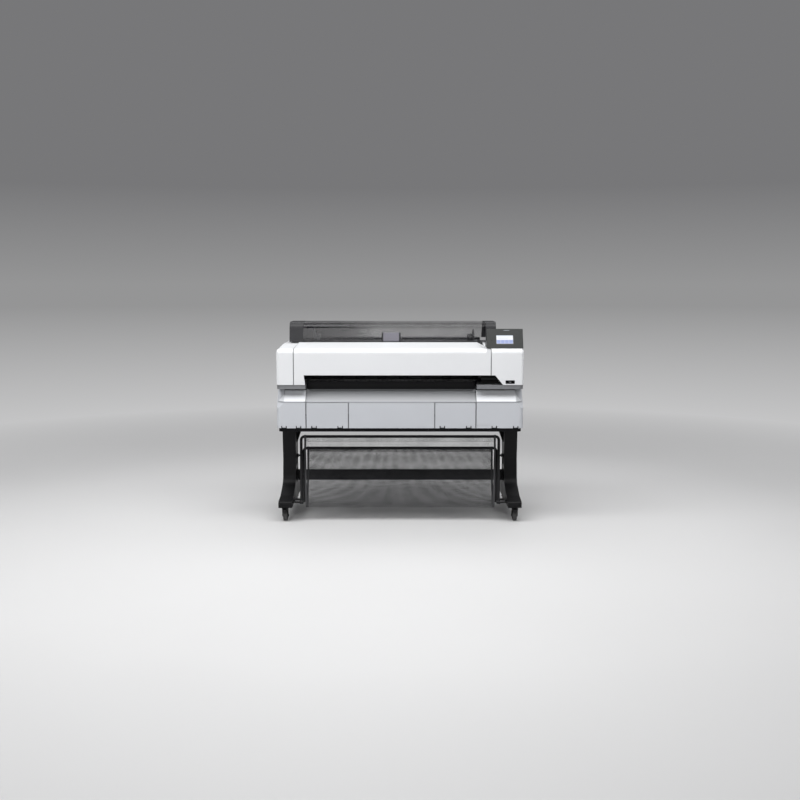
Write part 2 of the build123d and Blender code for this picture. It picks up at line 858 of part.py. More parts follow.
def roll_cover_frame():
    """Opaque lid frame with end cheeks, grip and hinge barrels."""
    frame = roll_cover_shell() - window_zone()
    grip_foot = roll_cover_bottom + 4
    grip = side_prism(
        [
            (roll_cover_front - 7, grip_foot, 2),
            (roll_cover_front - 5, handle_top, 3),
            (roll_cover_front + 10, handle_top, 0),
            (roll_cover_front + 4, grip_foot, 0),
        ],
        (handle_left, handle_right),
    )
    scoop = side_prism(
        [
            (roll_cover_front - 7 + wall, grip_foot - 1, 0),
            (roll_cover_front - 5 + wall, handle_top - wall, 0),
            (roll_cover_front + 6, handle_top - wall, 0),
            (roll_cover_front - 0.5, grip_foot - 1, 0),
        ],
        (handle_left + wall, handle_right - wall),
    )
    frame += grip - scoop
    for side in (-1, 1):
        x = roll_cover_middle + side * roll_hinge_spacing / 2
        span = (x - roll_barrel_length / 2, x + roll_barrel_length / 2)
        frame += rod_x(roll_barrel_radius, span, roll_hinge_y, roll_hinge_z)
        web_top = roll_hinge_z + roll_barrel_radius + 5
        frame += block(span, (roll_cover_back, roll_cover_back + 3), (roll_hinge_z, web_top))
        bore = roll_pin_radius + running_clearance
        frame -= rod_x(bore, (span[0] - 1, span[1] + 1), roll_hinge_y, roll_hinge_z)
    return frame


# Roll bay

def roll_tray():
    """Trough under the roll that runs forward and down as the feed guide, with two end walls."""
    trough_floor = deck_height - 96
    trough = sheet(
        [
            (roll_cover_back - 9, deck_height - 2),
            (roll_cover_back - 22, trough_floor + 20),
            (60, trough_floor),
            (34, deck_height - 3),
            (16, deck_height - 3),
            (16, trough_floor - 25),
            (feed_y + 22, platen_top - 3),
        ],
        [50, 50, 6, 6, 60],
        sheet_wall,
        (bay_left, bay_right),
    )
    lip = sheet(
        [(-10, deck_height + 4), (-1, deck_height + 4), (-1, trough_floor - 25)],
        [3],
        sheet_wall,
        (bay_left, bay_right),
    )
    wall_corners = [
        (roll_cover_back - 9, deck_height, 0),
        (-9, deck_height, 0),
        (-2, trough_floor + 35, 20),
        (-2, trough_floor - 35, 0),
        (22, trough_floor - 35, 0),
        (60, trough_floor - 5, 40),
        (roll_cover_back - 20, trough_floor + 15, 60),
    ]
    tray = trough + lip
    for x in (bay_left, bay_right - sheet_wall):
        tray += side_prism(wall_corners, (x, x + sheet_wall))
    bracket = [
        (hood_hinge_y - 8, hood_hinge_z + 8, 6),
        (hood_hinge_y + 8, hood_hinge_z + 8, 6),
        (hood_hinge_y + 8, hood_hinge_z - 6, 0),
        (-1, hood_hinge_z - 24, 0),
        (-1, hood_hinge_z - 56, 0),
        (hood_hinge_y - 8, hood_hinge_z - 8, 6),
    ]
    hanger_y = (80, 250)
    hanger_top = trough_floor + 27
    for wall_x, plate_x, way in (
        (bay_left, plate_left + plate_wall + contact_gap, 1),
        (bay_right, plate_right - contact_gap, -1),
    ):
        shelf = sorted((plate_x, wall_x + way))
        tray += block(shelf, hanger_y, (hanger_top - sheet_wall, hanger_top))
        flange = sorted((plate_x, plate_x + way * sheet_wall))
        tray += block(flange, hanger_y, (hanger_top - 26, hanger_top))
    for x in (hood_bracket_left, hood_bracket_right):
        tray += side_prism(bracket, (x, x + ear_wall))
        tray += rod_x(hinge_pin_radius, (x - ear_wall - 1, x + 1), hood_hinge_y, hood_hinge_z)
    return tray


def spindle_holders():
    """Open saddles that take the two ends of the roll spindle."""
    holders = []
    for inner_x, way in ((bay_left + sheet_wall, 1), (bay_right - sheet_wall, -1)):
        span = sorted((inner_x, inner_x + way * holder_wall))
        foot_z = deck_height - 76
        corners = [
            (spindle_y - 34, foot_z, 0),
            (spindle_y + 34, foot_z, 0),
            (spindle_y + 17, spindle_z + 6, 5),
            (spindle_y - 17, spindle_z + 6, 5),
        ]
        holder = side_prism(corners, span)
        bore = journal_radius + running_clearance
        cut = sorted((inner_x + way * 2, inner_x + way * (holder_wall + 1)))
        holder -= rod_x(bore, cut, spindle_y, spindle_z)
        holder -= block(cut, (spindle_y - bore, spindle_y + bore), (spindle_z, spindle_z + 20))
        holders.append(holder.solids()[0])
    return Compound(children=holders)


def core_holder(x, way, bore):
    """Flange and ribbed plug that fit the end of a paper core."""
    flange = rod_x(flange_radius, sorted((x, x + way * flange_wall)), spindle_y, spindle_z)
    flange += rod_x(core_radius, sorted((x, x + way * core_length)), spindle_y, spindle_z)
    for angle in range(0, 360, 60):
        rib = Pos(x + way * core_length / 2, 0, core_radius) * Box(core_length, 4, 5)
        flange += Pos(0, spindle_y, spindle_z) * Rot(angle, 0, 0) * rib
    for angle in range(30, 390, 60):
        hole = Pos(x, 0, 39) * Rot(0, 90, 0) * Cylinder(8, 3 * flange_wall)
        flange -= Pos(0, spindle_y, spindle_z) * Rot(angle, 0, 0) * hole
    if bore:
        flange -= rod_x(bore, (x - 60, x + 60), spindle_y, spindle_z)
    return flange


def roll_spindle():
    """Steel spindle with turned-down ends and the fixed flange."""
    left = bay_left + sheet_wall + 2.5
    right = bay_right - sheet_wall - 2.5
    shoulder = holder_wall + 2
    spindle = rod_x(journal_radius, (left, right), spindle_y, spindle_z)
    spindle += rod_x(spindle_radius, (left + shoulder, right - shoulder), spindle_y, spindle_z)
    spindle += core_holder(fixed_flange_x, -1, 0)
    return spindle


def spindle_flange():
    """Loose flange that slides along the spindle to the width of the roll."""
    return core_holder(movable_flange_x, 1, spindle_radius + running_clearance)


# Paper drive

def platen():
    """Beam across the machine with the ribbed deck that the paper slides on."""
    beam_foot = platen_top - 50
    beam = side_prism(
        [
            (platen_front, beam_foot, 0),
            (platen_back, beam_foot, 0),
            (platen_back, platen_top - platen_deck, 0),
            (platen_front, platen_top - platen_deck, 0),
        ],
        (plate_left + plate_wall, plate_right),
    )
    beam -= side_prism(
        [
            (platen_front + wall, beam_foot - 1, 0),
            (platen_back - wall, beam_foot - 1, 0),
            (platen_back - wall, platen_top - platen_deck - wall, 0),
            (platen_front + wall, platen_top - platen_deck - wall, 0),
        ],
        (plate_left, plate_right + 1),
    )
    deck_left = exit_left + 4
    deck_right = exit_right - 4
    rib_height = 2.0
    deck_corners = [
        (platen_front, platen_top - platen_deck, 0),
        (platen_back, platen_top - platen_deck, 0),
        (platen_back, platen_top - rib_height, 3),
        (platen_front, platen_top - rib_height, 8),
    ]
    beam += side_prism(deck_corners, (deck_left, deck_right))
    ribs = int((deck_right - deck_left) / rib_pitch)
    for index in range(ribs):
        x = deck_left + (index + 0.5) * rib_pitch
        beam += block((x - 1, x + 1), (platen_front + 10, platen_back - 5), (platen_top - 3, platen_top))
    return beam


def feed_roller():
    """Long coated roller turning in the side plates."""
    roller = rod_x(feed_journal_radius, (plate_left - 4, plate_right + plate_wall + 4), feed_y, feed_z)
    roller += rod_x(feed_radius, (exit_left + 6, exit_right - 6), feed_y, feed_z)
    return roller


def pinch_positions():
    """Middle of each pinch roller along the machine."""
    return [pinch_first + index * pinch_pitch for index in range(pinch_count)]


def pinch_rollers():
    """Pressure rollers on one axle above the feed roller."""
    positions = pinch_positions()
    axle_span = (positions[0] - pinch_length / 2 - 12, positions[-1] + pinch_length / 2 + 12)
    axle = rod_x(pinch_axle_radius, axle_span, feed_y, pinch_z)
    for x in positions:
        axle += rod_x(pinch_radius, (x - pinch_length / 2, x + pinch_length / 2), feed_y, pinch_z)
    return axle


def pinch_arms():
    """Cross bar with a pair of bored arms beside each pinch roller."""
    bar_z = platen_top + 32
    bar = side_prism(
        [(-112, bar_z, 0), (-92, bar_z, 0), (-92, bar_z + 12, 3), (-112, bar_z + 12, 3)],
        (plate_left + plate_wall, plate_right),
    )
    arm = [
        (feed_y - 5, pinch_z - 4.5, 4),
        (feed_y + 6, pinch_z - 4.5, 4),
        (-92, bar_z, 0),
        (-92, bar_z + 8, 0),
        (-112, bar_z + 8, 0),
    ]
    for x in pinch_positions():
        for side in (-1, 1):
            start = x + side * (pinch_length / 2 + 3) - 2
            bar += side_prism(arm, (start, start + 4))
    bore = pinch_axle_radius + running_clearance
    first = pinch_positions()[0]
    last = pinch_positions()[-1]
    bar -= rod_x(bore, (first - pinch_length, last + pinch_length), feed_y, pinch_z)
    return bar


# Carriage drive

def carriage_rail():
    """Steel channel that carries the carriage, with a tab for each end of the belt."""
    front = rail_back - rail_flange
    top = rail_bottom + rail_height
    corners = [
        (front, rail_bottom, 0),
        (rail_back, rail_bottom, 3),
        (rail_back, top, 3),
        (front, top, 0),
        (front, top - rail_wall, 0),
        (rail_back - rail_wall, top - rail_wall, 0),
        (rail_back - rail_wall, rail_bottom + rail_wall, 0),
        (front, rail_bottom + rail_wall, 0),
    ]
    rail = side_prism(corners, (plate_left + plate_wall, plate_right))
    for x in (idler_x, drive_x):
        tab = [
            (x - 18, top - rail_wall, 0),
            (x - 18, belt_z + 16, 6),
            (x + 18, belt_z + 16, 6),
            (x + 18, top - rail_wall, 0),
        ]
        rail += front_prism(tab, (rail_back - rail_wall, rail_back))
    pin_end = belt_y - pulley_width / 2 - 2
    rail += rod_y(pulley_axle_radius, idler_x, (pin_end, rail_back - 1), belt_z)
    rail -= rod_y(pulley_axle_radius + 2, drive_x, (rail_back - 10, rail_back + 1), belt_z)
    return rail


def belt_face(radius):
    """Stadium round both pulleys."""
    middle = (idler_x + drive_x) / 2
    return Pos(middle, belt_z) * SlotCenterToCenter(drive_x - idler_x, 2 * radius)


def carriage_belt():
    """Endless belt between the two pulleys."""
    inner = pulley_radius + contact_gap
    loop = belt_face(inner + belt_wall) - belt_face(inner)
    half = pulley_width / 2 - 0.6
    return extrude(Plane.XZ.offset(-(belt_y - half)) * loop, 2 * half, dir=(0, 1, 0))


def pulley(x):
    """Toothed pulley with two side flanges."""
    half = pulley_width / 2
    wheel = rod_y(pulley_radius, x, (belt_y - half, belt_y + half), belt_z)
    for index in range(pulley_teeth):
        angle = math.radians(index * 360 / pulley_teeth)
        tooth_x = x + pulley_radius * math.sin(angle)
        tooth_z = belt_z + pulley_radius * math.cos(angle)
        wheel -= rod_y(0.6, tooth_x, (belt_y - half, belt_y + half), tooth_z)
    wheel += rod_y(pulley_flange, x, (belt_y - half - 1, belt_y - half), belt_z)
    wheel += rod_y(pulley_flange, x, (belt_y + half, belt_y + half + 1), belt_z)
    return wheel


def idler_pulley():
    """Free pulley on its pin at the left end."""
    bore = rod_y(pulley_axle_radius + running_clearance, idler_x, (belt_y - 20, belt_y + 20), belt_z)
    return pulley(idler_x) - bore


def drive_pulley():
    """Pulley on the motor shaft at the right end."""
    shaft = rod_y(pulley_axle_radius, drive_x, (belt_y, rail_back + 14), belt_z)
    return pulley(drive_x) + shaft


def carriage_motor():
    """Motor can bolted behind the rail, bored for its shaft."""
    motor = rod_y(motor_radius, drive_x, (rail_back, rail_back + motor_length), belt_z)
    back_edge = motor.edges().filter_by(GeomType.CIRCLE).group_by(Axis.Y)[-1]
    motor = chamfer(back_edge, 3)
    bore = pulley_axle_radius + running_clearance
    motor -= rod_y(bore, drive_x, (rail_back - 1, rail_back + 16), belt_z)
    return motor


def carriage():
    """Carriage shell: head block over the platen, arm to the rail and clamp on the belt."""
    half = carriage_width / 2
    span = (carriage_x - half, carriage_x + half)
    head_back = -150.0
    rail_front = rail_back - rail_flange
    inner_face = rail_back - rail_wall - 0.6
    corners = [
        (-246, platen_top + 14, 4),
        (head_back, platen_top + 14, 4),
        (head_back, rail_bottom + 8, 4),
        (rail_front - 6, rail_bottom + 8, 0),
        (rail_front - 6, rail_bottom + rail_wall + 2, 0),
        (inner_face, rail_bottom + rail_wall + 2, 0),
        (inner_face, rail_bottom + rail_height - rail_wall - 2, 0),
        (rail_front - 3, rail_bottom + rail_height - rail_wall - 2, 0),
        (rail_front - 3, rail_bottom + rail_height + 1.4, 0),
        (belt_y + 6, rail_bottom + rail_height + 1.4, 0),
        (belt_y + 6, belt_z - pulley_radius - 3, 0),
        (rail_front - 20, belt_z - pulley_radius - 3, 6),
        (head_back - 10, belt_z - 12, 14),
        (-246, belt_z - 22, 18),
    ]
    body = side_prism(corners, span)
    strand_z = belt_z - pulley_radius - contact_gap
    clamp_x = (carriage_x - 12, carriage_x + 12)
    clamp = block(clamp_x, (belt_y - 6, belt_y + 6), (strand_z - 6, strand_z + 4))
    gap = 0.3
    clamp -= block(
        (carriage_x - 13, carriage_x + 13),
        (belt_y - pulley_width / 2, belt_y + pulley_width / 2),
        (strand_z - belt_wall - gap, strand_z + gap),
    )
    body += clamp
    return body


def print_head():
    """Print head block held under the carriage, with a recessed nozzle plate."""
    half = 48.0
    bottom = platen_top + 3
    top = platen_top + 14 - contact_gap
    head = block((carriage_x - half, carriage_x + half), (-240, -162), (bottom, top))
    head = chamfer(head.edges().group_by(Axis.Z)[0], 2)
    for index in range(4):
        x = carriage_x - 33 + index * 22
        head -= block((x - 5, x + 5), (-232, -170), (bottom - 1, bottom + 1))
    return head


def capping_station():
    """Parking tray with a cap frame and a wiper beside the platen."""
    base_z = platen_top - platen_deck
    top = platen_top - 6
    x_range = (exit_right + 8, plate_right - contact_gap)
    y_range = (platen_front + 4, platen_back - 4)
    station = block(x_range, y_range, (base_z, top))
    hollow_x = (x_range[0] + 4, x_range[1] - 4)
    hollow_y = (y_range[0] + 4, y_range[1] - 4)
    station -= block(hollow_x, hollow_y, (base_z + 6, top + 1))
    cap = block((carriage_x - 46, carriage_x + 46), (-238, -164), (base_z + 4, platen_top))
    cap -= block((carriage_x - 42, carriage_x + 42), (-234, -168), (base_z + 14, platen_top + 1))
    station += cap
    for wiper_x in (carriage_x - 60, carriage_x + 60):
        station += block((wiper_x - 1, wiper_x + 1), (-232, -170), (base_z + 5, platen_top + 1))
    return station


# Ink supply

def cartridge_x(index):
    """Middle of a cartridge across the bay."""
    return ink_bay_left + wall + cartridge_pitch * (index + 0.5)


def cartridge_bay():
    """Open-fronted holder with a cell for each cartridge, on two feet."""
    bay_width = cartridge_pitch * cartridge_count + wall
    x_range = (ink_bay_left, ink_bay_left + bay_width)
    y_range = (cartridge_front + 8, cartridge_front + cartridge_length + 12)
    z_range = (cartridge_bottom - contact_gap - wall, cartridge_bottom + cartridge_height + 14)
    bay = block(x_range, y_range, z_range)
    cell = cartridge_width / 2 + contact_gap
    for index in range(cartridge_count):
        x = cartridge_x(index) - wall / 2
        bay -= block(
            (x - cell, x + cell),
            (y_range[0] - 1, y_range[1] - wall),
            (cartridge_bottom - contact_gap, cartridge_bottom + cartridge_height + 8),
        )
    for y in (y_range[0] + 20, y_range[1] - 40):
        foot = (x_range[0] + 10, x_range[1] - 10)
        bay += block(foot, (y, y + 20), (base_bottom + wall, z_range[0] + 1))
    return bay


def cartridge(index):
    """Ink cartridge: tall narrow box with a grip step and a shallow recess on its front."""
    x = cartridge_x(index) - wall / 2
    half = cartridge_width / 2
    front = cartridge_front
    top = cartridge_bottom + cartridge_height
    corners = [
        (front + 6, cartridge_bottom, 3),
        (front + cartridge_length, cartridge_bottom, 3),
        (front + cartridge_length, top, 3),
        (front + 26, top, 3),
        (front + 26, top - 34, 4),
        (front, top - 46, 6),
        (front, cartridge_bottom + 30, 10),
    ]
    body = side_prism(corners, (x - half, x + half))
    body -= block((x - half + 5, x + half - 5), (front - 1, front + 0.8), (cartridge_bottom + 42, top - 58))
    return body


def maintenance_box():
    """Waste ink box: moulded tub with a ribbed pull and a ledge along each side."""
    half = waste_box_width / 2
    x_range = (waste_box_x - half, waste_box_x + half)
    y_range = (cartridge_front, cartridge_front + waste_box_length)
    box = block(x_range, y_range, (waste_box_bottom, waste_box_bottom + waste_box_height))
    box = fillet(box.edges().filter_by(Axis.Z), 6)
    pull_z = waste_box_bottom + waste_box_height / 2
    pull_half = 26.0
    pull_x = (waste_box_x - pull_half, waste_box_x + pull_half)
    box -= block(pull_x, (y_range[0] - 1, y_range[0] + 12), (pull_z - 14, pull_z + 10))
    box += block((pull_x[0] - 1, pull_x[1] + 1), (y_range[0], y_range[0] + 4), (pull_z, pull_z + 11))
    return box


# Control panel

def on_panel(x, rise, depth):
    """Point on the tilted panel face: along X, up the face, and into the housing."""
    tilt = math.radians(panel_tilt)
    y = panel_front + rise * math.sin(tilt) + depth * math.cos(tilt)
    z = panel_bottom + rise * math.cos(tilt) - depth * math.sin(tilt)
    return Pos(x, y, z) * Rot(-panel_tilt, 0, 0)


def control_panel():
    """Wedge housing on the right cover with a screen pocket and a button bore."""
    tilt = math.radians(panel_tilt)
    rise = panel_height / math.cos(tilt)
    top_y = panel_front + rise * math.sin(tilt)
    top_z = panel_bottom + panel_height
    buried = 10.0
    corners = [
        (panel_front - buried * math.tan(tilt), panel_bottom - buried, 0),
        (top_y, top_z, 4),
        (top_y + 14, top_z - 4, 6),
        (top_y + 80, deck_height, 0),
        (top_y + 80, panel_bottom - buried, 0),
    ]
    housing = side_prism(corners, (panel_left, panel_right))
    long_edges = [e for e in housing.edges().filter_by(GeomType.LINE) if e.length > panel_height / 2]
    face_sides = [e for e in long_edges if abs(e.center().Y - (panel_front + top_y) / 2) < 12]
    housing = fillet(face_sides, 3)
    pocket = on_panel(screen_x, screen_rise, screen_wall / 2) * Box(
        screen_width + 2 * contact_gap, screen_wall, screen_height + 2 * contact_gap
    )
    housing -= pocket
    bore = on_panel(button_x, screen_rise, 3) * Rot(90, 0, 0) * Cylinder(button_radius + 0.15, 6.4)
    housing -= bore
    below = deck_outline(-contact_gap, body_front, cover_back, panel_bottom - 60)
    return housing - side_prism(below, (panel_left - 1, panel_right + 1))


def lcd_screen():
    """Glass of the display, flush in its pocket."""
    plate = Box(screen_width, screen_wall - contact_gap, screen_height)
    plate = fillet(plate.edges().filter_by(Axis.Y), 2)
    return on_panel(screen_x, screen_rise, (screen_wall - contact_gap) / 2) * plate


def power_button():
    """Round push button."""
    cap = Cylinder(button_radius, 4)
    cap = fillet(cap.edges().group_by(Axis.Z)[-1], 1)
    return on_panel(button_x, screen_rise, 1.2) * Rot(90, 0, 0) * cap


# Stand

def leg(side):
    """Stand leg: column with a long foot, hollow on its inner side, and a top plate."""
    waist = beam_top + 85
    corners = [
        (-foot_half_length, foot_bottom, 8),
        (foot_half_length, foot_bottom, 8),
        (foot_half_length, foot_top - 14, 14),
        (foot_half_length - 110, foot_top, 60),
        (column_half_depth + 20, beam_bottom, 70),
        (column_half_depth, waist, 60),
        (column_half_depth + 22, base_bottom - 6, 0),
        (column_half_depth + 22, base_bottom, 0),
        (-column_half_depth - 22, base_bottom, 0),
        (-column_half_depth - 22, base_bottom - 6, 0),
        (-column_half_depth, waist, 60),
        (-column_half_depth - 20, beam_bottom, 70),
        (-foot_half_length + 110, foot_top, 60),
        (-foot_half_length, foot_top - 14, 14),
    ]
    column = side_prism(corners, (leg_inner, leg_outer))
    pocket = [
        (-column_half_depth + 16, beam_top + 30, 10),
        (column_half_depth - 16, beam_top + 30, 10),
        (column_half_depth - 16, waist + 10, 10),
        (-column_half_depth + 16, waist + 10, 10),
    ]
    column -= side_prism(pocket, (leg_inner - 1, leg_inner + 20))
    upper_pocket = [
        (-column_half_depth + 16, base_bottom - 90, 10),
        (column_half_depth - 16, base_bottom - 90, 10),
        (column_half_depth - 6, base_bottom - 24, 10),
        (-column_half_depth + 6, base_bottom - 24, 10),
    ]
    column -= side_prism(upper_pocket, (leg_inner + 34, leg_outer + 1))
    for y in (-caster_y, caster_y):
        bore = stem_radius + running_clearance
        column -= rod_z(bore, caster_x, y, (foot_bottom - 1, foot_bottom + stem_length))
    column += block((leg_inner - 34, leg_inner + 1), (-60, 60), (base_bottom - 5, base_bottom))
    pin = (front_foot_x - eye_half - 2, leg_inner + 1)
    column += rod_x(pivot_radius, pin, front_pivot_y, front_pivot_z)
    return column if side > 0 else mirrored(column)


def crossbeam():
    """Box-section beam between the legs with welded end flanges."""
    flange_wall_x = 4.0
    outer = block((-leg_inner, leg_inner), (-beam_depth / 2, beam_depth / 2), (beam_bottom, beam_top))
    outer = fillet(outer.edges().filter_by(Axis.X), 5)
    core = block(
        (-leg_inner - 1, leg_inner + 1),
        (-beam_depth / 2 + beam_wall, beam_depth / 2 - beam_wall),
        (beam_bottom + beam_wall, beam_top - beam_wall),
    )
    beam = outer - core
    for side in (-1, 1):
        x_range = sorted((side * leg_inner, side * (leg_inner - flange_wall_x)))
        flange_y = (-beam_depth / 2 - 14, beam_depth / 2 + 14)
        flange = block(x_range, flange_y, (beam_bottom - 8, beam_top + 8))
        beam += fillet(flange.edges().filter_by(Axis.X), 6)
    return beam


def knee_braces():
    """Pressed triangular gusset between each leg and the underside of the machine."""
    foot_z = base_bottom - 105
    corners = [
        (leg_inner, foot_z, 0),
        (leg_inner, base_bottom - 5, 0),
        (leg_inner - 34, base_bottom - 5, 0),
        (leg_inner - 34, base_bottom - 20, 0),
        (leg_inner - 4, foot_z, 0),
    ]
    brace = front_prism(corners, (-16, 16))
    brace -= front_prism(
        [
            (leg_inner - 3, foot_z + 25, 0),
            (leg_inner - 3, base_bottom - 12, 0),
            (leg_inner - 26, base_bottom - 12, 0),
            (leg_inner - 26, base_bottom - 22, 0),
            (leg_inner - 7, foot_z + 25, 0),
        ],
        (-17, 13),
    )
    solid = brace.solids()[0]
    return Compound(children=[solid, mirrored(solid).solids()[0]])


def stand_bolts():
    """Hexagon bolt heads on the beam flanges and the top plates of the legs."""
    heads = []
    for side in (-1, 1):
        for y in (-beam_depth / 2 - 7, beam_depth / 2 + 7):
            for z in (beam_bottom + 8, beam_top - 8):
                face = Plane.YZ.offset(side * (leg_inner - 4)) * Pos(y, z) * RegularPolygon(6, 6)
                heads.append(extrude(face, bolt_head_height, dir=(-side, 0, 0)).solids()[0])
        for y in (-48, 48):
            x = side * (leg_inner - 22)
            face = Plane.XY.offset(base_bottom - 5) * Pos(x, y) * RegularPolygon(bolt_head_radius, 6)
            heads.append(extrude(face, bolt_head_height, dir=(0, 0, -1)).solids()[0])
    return Compound(children=heads)


# Casters: each set stands at (side, end), with side and end being -1 or 1

def caster_place(side, end):
    """Swivel axis of a caster."""
    return side * caster_x, end * caster_y


def caster_fork(side, end):
    """Fork with stem, bearing plate and two cheeks that narrow to the axle."""
    x, y = caster_place(side, end)
    axle_y = y - end * caster_trail
    half = wheel_width / 2 + fork_gap
    plate_z = foot_bottom - contact_gap
    fork = rod_z(stem_radius, x, y, (plate_z - 2, foot_bottom + stem_length - 2))
    fork += rod_z(20, x, y, (plate_z - 5, plate_z))
    crown_x = (x - half - fork_wall, x + half + fork_wall)
    crown = block(crown_x, (y - 12.5, y + 12.5), (plate_z - 13, plate_z - 5))
    fork += fillet(crown.edges().filter_by(Axis.Z), 6)
    cheek = [
        (y + end * 12, plate_z - 6, 0),
        (y - end * 12, plate_z - 6, 0),
        (axle_y - end * 8, wheel_radius - 4, 5),
        (axle_y + end * 8, wheel_radius - 8, 5),
    ]
    for start in (x - half - fork_wall, x + half):
        fork += side_prism(cheek, (start, start + fork_wall))
    fork += rod_x(axle_radius, (x - half - 1, x + half + 1), axle_y, wheel_radius)
    if end < 0:
        for start in (x - 12, x + 9):
            fork += block((start, start + 3), (y - pedal_reach - 4, y - 12), (plate_z - 16, plate_z - 6))
        fork += rod_x(pedal_pin_radius, (x - 10, x + 10), y - pedal_reach, plate_z - pedal_drop)
    return fork


def caster_wheel(side, end):
    """Wheel with rounded tread, dished sides and a bore on the axle."""
    x, y = caster_place(side, end)
    axle_y = y - end * caster_trail
    half = wheel_width / 2
    section = [
        (axle_radius + running_clearance, -half),
        (10, -half),
        (12, -half + 3),
        (wheel_radius - 7, -half + 3),
        (wheel_radius - 5, -half),
        (wheel_radius - 2, -half + 1),
        (wheel_radius, -half + 4),
        (wheel_radius, half - 4),
        (wheel_radius - 2, half - 1),
        (wheel_radius - 5, half),
        (wheel_radius - 7, half - 3),
        (12, half - 3),
        (10, half),
        (axle_radius + running_clearance, half),
    ]
    face = make_face(Polyline(*section, close=True))
    wheel = revolve(Plane.XZ * face, Axis.Z)
    return Pos(x, axle_y, wheel_radius) * Rot(0, 90, 0) * wheel


def brake_pedal(side):
    """Foot pedal on the front casters, swinging on the pin in front of the fork."""
    x, y = caster_place(side, -1)
    pin_z = foot_bottom - contact_gap - pedal_drop
    pin_y = y - pedal_reach
    pedal = rod_x(5, (x - 8.5, x + 8.5), pin_y, pin_z)
    lever = [
        (pin_y - 2, pin_z + 3, 0),
        (pin_y - 2, pin_z - 3, 0),
        (pin_y - 20, pin_z - 8, 2),
        (pin_y - 20, pin_z - 2, 2),
    ]
    pedal += side_prism(lever, (x - 8.5, x + 8.5))
    pedal -= rod_x(pedal_pin_radius + running_clearance, (x - 9, x + 9), pin_y, pin_z)
    return pedal


# Catch basket

def bent_tube(points, bend):
    """Round tube swept through filleted bends."""
    path = FilletPolyline(*points, radius=bend)
    start = Plane(origin=path @ 0, z_dir=path % 0)
    return sweep(start * Circle(tube_radius), path=path)


def basket_front_frame():
    """Swinging U-shaped front frame with a bored eye at each foot."""
    points = [
        (-front_foot_x, front_pivot_y, front_pivot_z),
        (-front_arm_x, front_bar_y, front_bar_z),
        (front_arm_x, front_bar_y, front_bar_z),
        (front_foot_x, front_pivot_y, front_pivot_z),
    ]
    frame = bent_tube(points, tube_bend)
    bore = pivot_radius + running_clearance
    for side in (-1, 1):
        span = (side * front_foot_x - eye_half, side * front_foot_x + eye_half)
        frame += rod_x(eye_radius, span, front_pivot_y, front_pivot_z)
        frame -= rod_x(bore, (span[0] - 1, span[1] + 1), front_pivot_y, front_pivot_z)
    return frame


def basket_rear_frame():
    """Fixed U-shaped rear frame pinned to the legs near its bar and at its feet."""
    points = [
        (-rear_foot_x, rear_foot_y, rear_foot_z),
        (-rear_arm_x, rear_bar_y, rear_bar_z),
        (rear_arm_x, rear_bar_y, rear_bar_z),
        (rear_foot_x, rear_foot_y, rear_foot_z),
    ]
    frame = bent_tube(points, tube_bend)
    leg_face = leg_inner - contact_gap
    for share in (0.04, 0.86):
        x = rear_foot_x + share * (rear_arm_x - rear_foot_x)
        y = rear_foot_y + share * (rear_bar_y - rear_foot_y)
        z = rear_foot_z + share * (rear_bar_z - rear_foot_z)
        for side in (-1, 1):
            frame += rod_x(6, sorted((side * x, side * leg_face)), y, z)
            frame += rod_x(11, sorted((side * (leg_face - 10), side * leg_face)), y, z)
    return frame


def sleeve(y, z):
    """Hem that loops round a bar with a little room."""
    half = cloth_half - tube_bend / 2
    outer = rod_x(tube_radius + contact_gap + cloth_wall, (-half, half), y, z)
    return outer - rod_x(tube_radius + contact_gap, (-half - 1, half + 1), y, z)


def hung_sheet(points, radii):
    """Cloth between the arms of a frame, following a slack line in the side view."""
    return sheet(points, radii, cloth_wall, (-cloth_half, cloth_half))


def basket_cloth_front():
    """Front half of the basket cloth, hung from the swinging frame."""
    edge = tube_radius + contact_gap + cloth_wall / 2
    run_y = -46.0
    run_z = -140.0
    back_y = -run_z / math.hypot(run_y, run_z) * edge
    back_z = run_y / math.hypot(run_y, run_z) * edge
    cloth = hung_sheet(
        [
            (front_bar_y + back_y, front_bar_z + back_z),
            (front_bar_y + back_y + run_y, front_bar_z + back_z + run_z),
            (front_pivot_y + 18, front_pivot_z + 60),
            (front_pivot_y + 2, front_pivot_z + 4),
        ],
        [200, 200],
    )
    return cloth + sleeve(front_bar_y, front_bar_z)


def basket_cloth_rear():
    """Rear half of the basket cloth and the fold at the bottom."""
    edge = tube_radius + contact_gap + cloth_wall / 2
    cloth = hung_sheet(
        [
            (rear_bar_y - edge, rear_bar_z),
            (rear_bar_y - 110, rear_bar_z - 132),
            (rear_foot_y - 4, cloth_bottom + 4),
            (front_pivot_y - 2, cloth_bottom + 2),
            (front_pivot_y + 1, front_pivot_z - 3),
        ],
        [220, 14, 10],
    )
    return cloth + sleeve(rear_bar_y, rear_bar_z)


def write(name, shape):
    """One file for each sub-part."""
    export_step(shape, "parts/" + name + ".step")


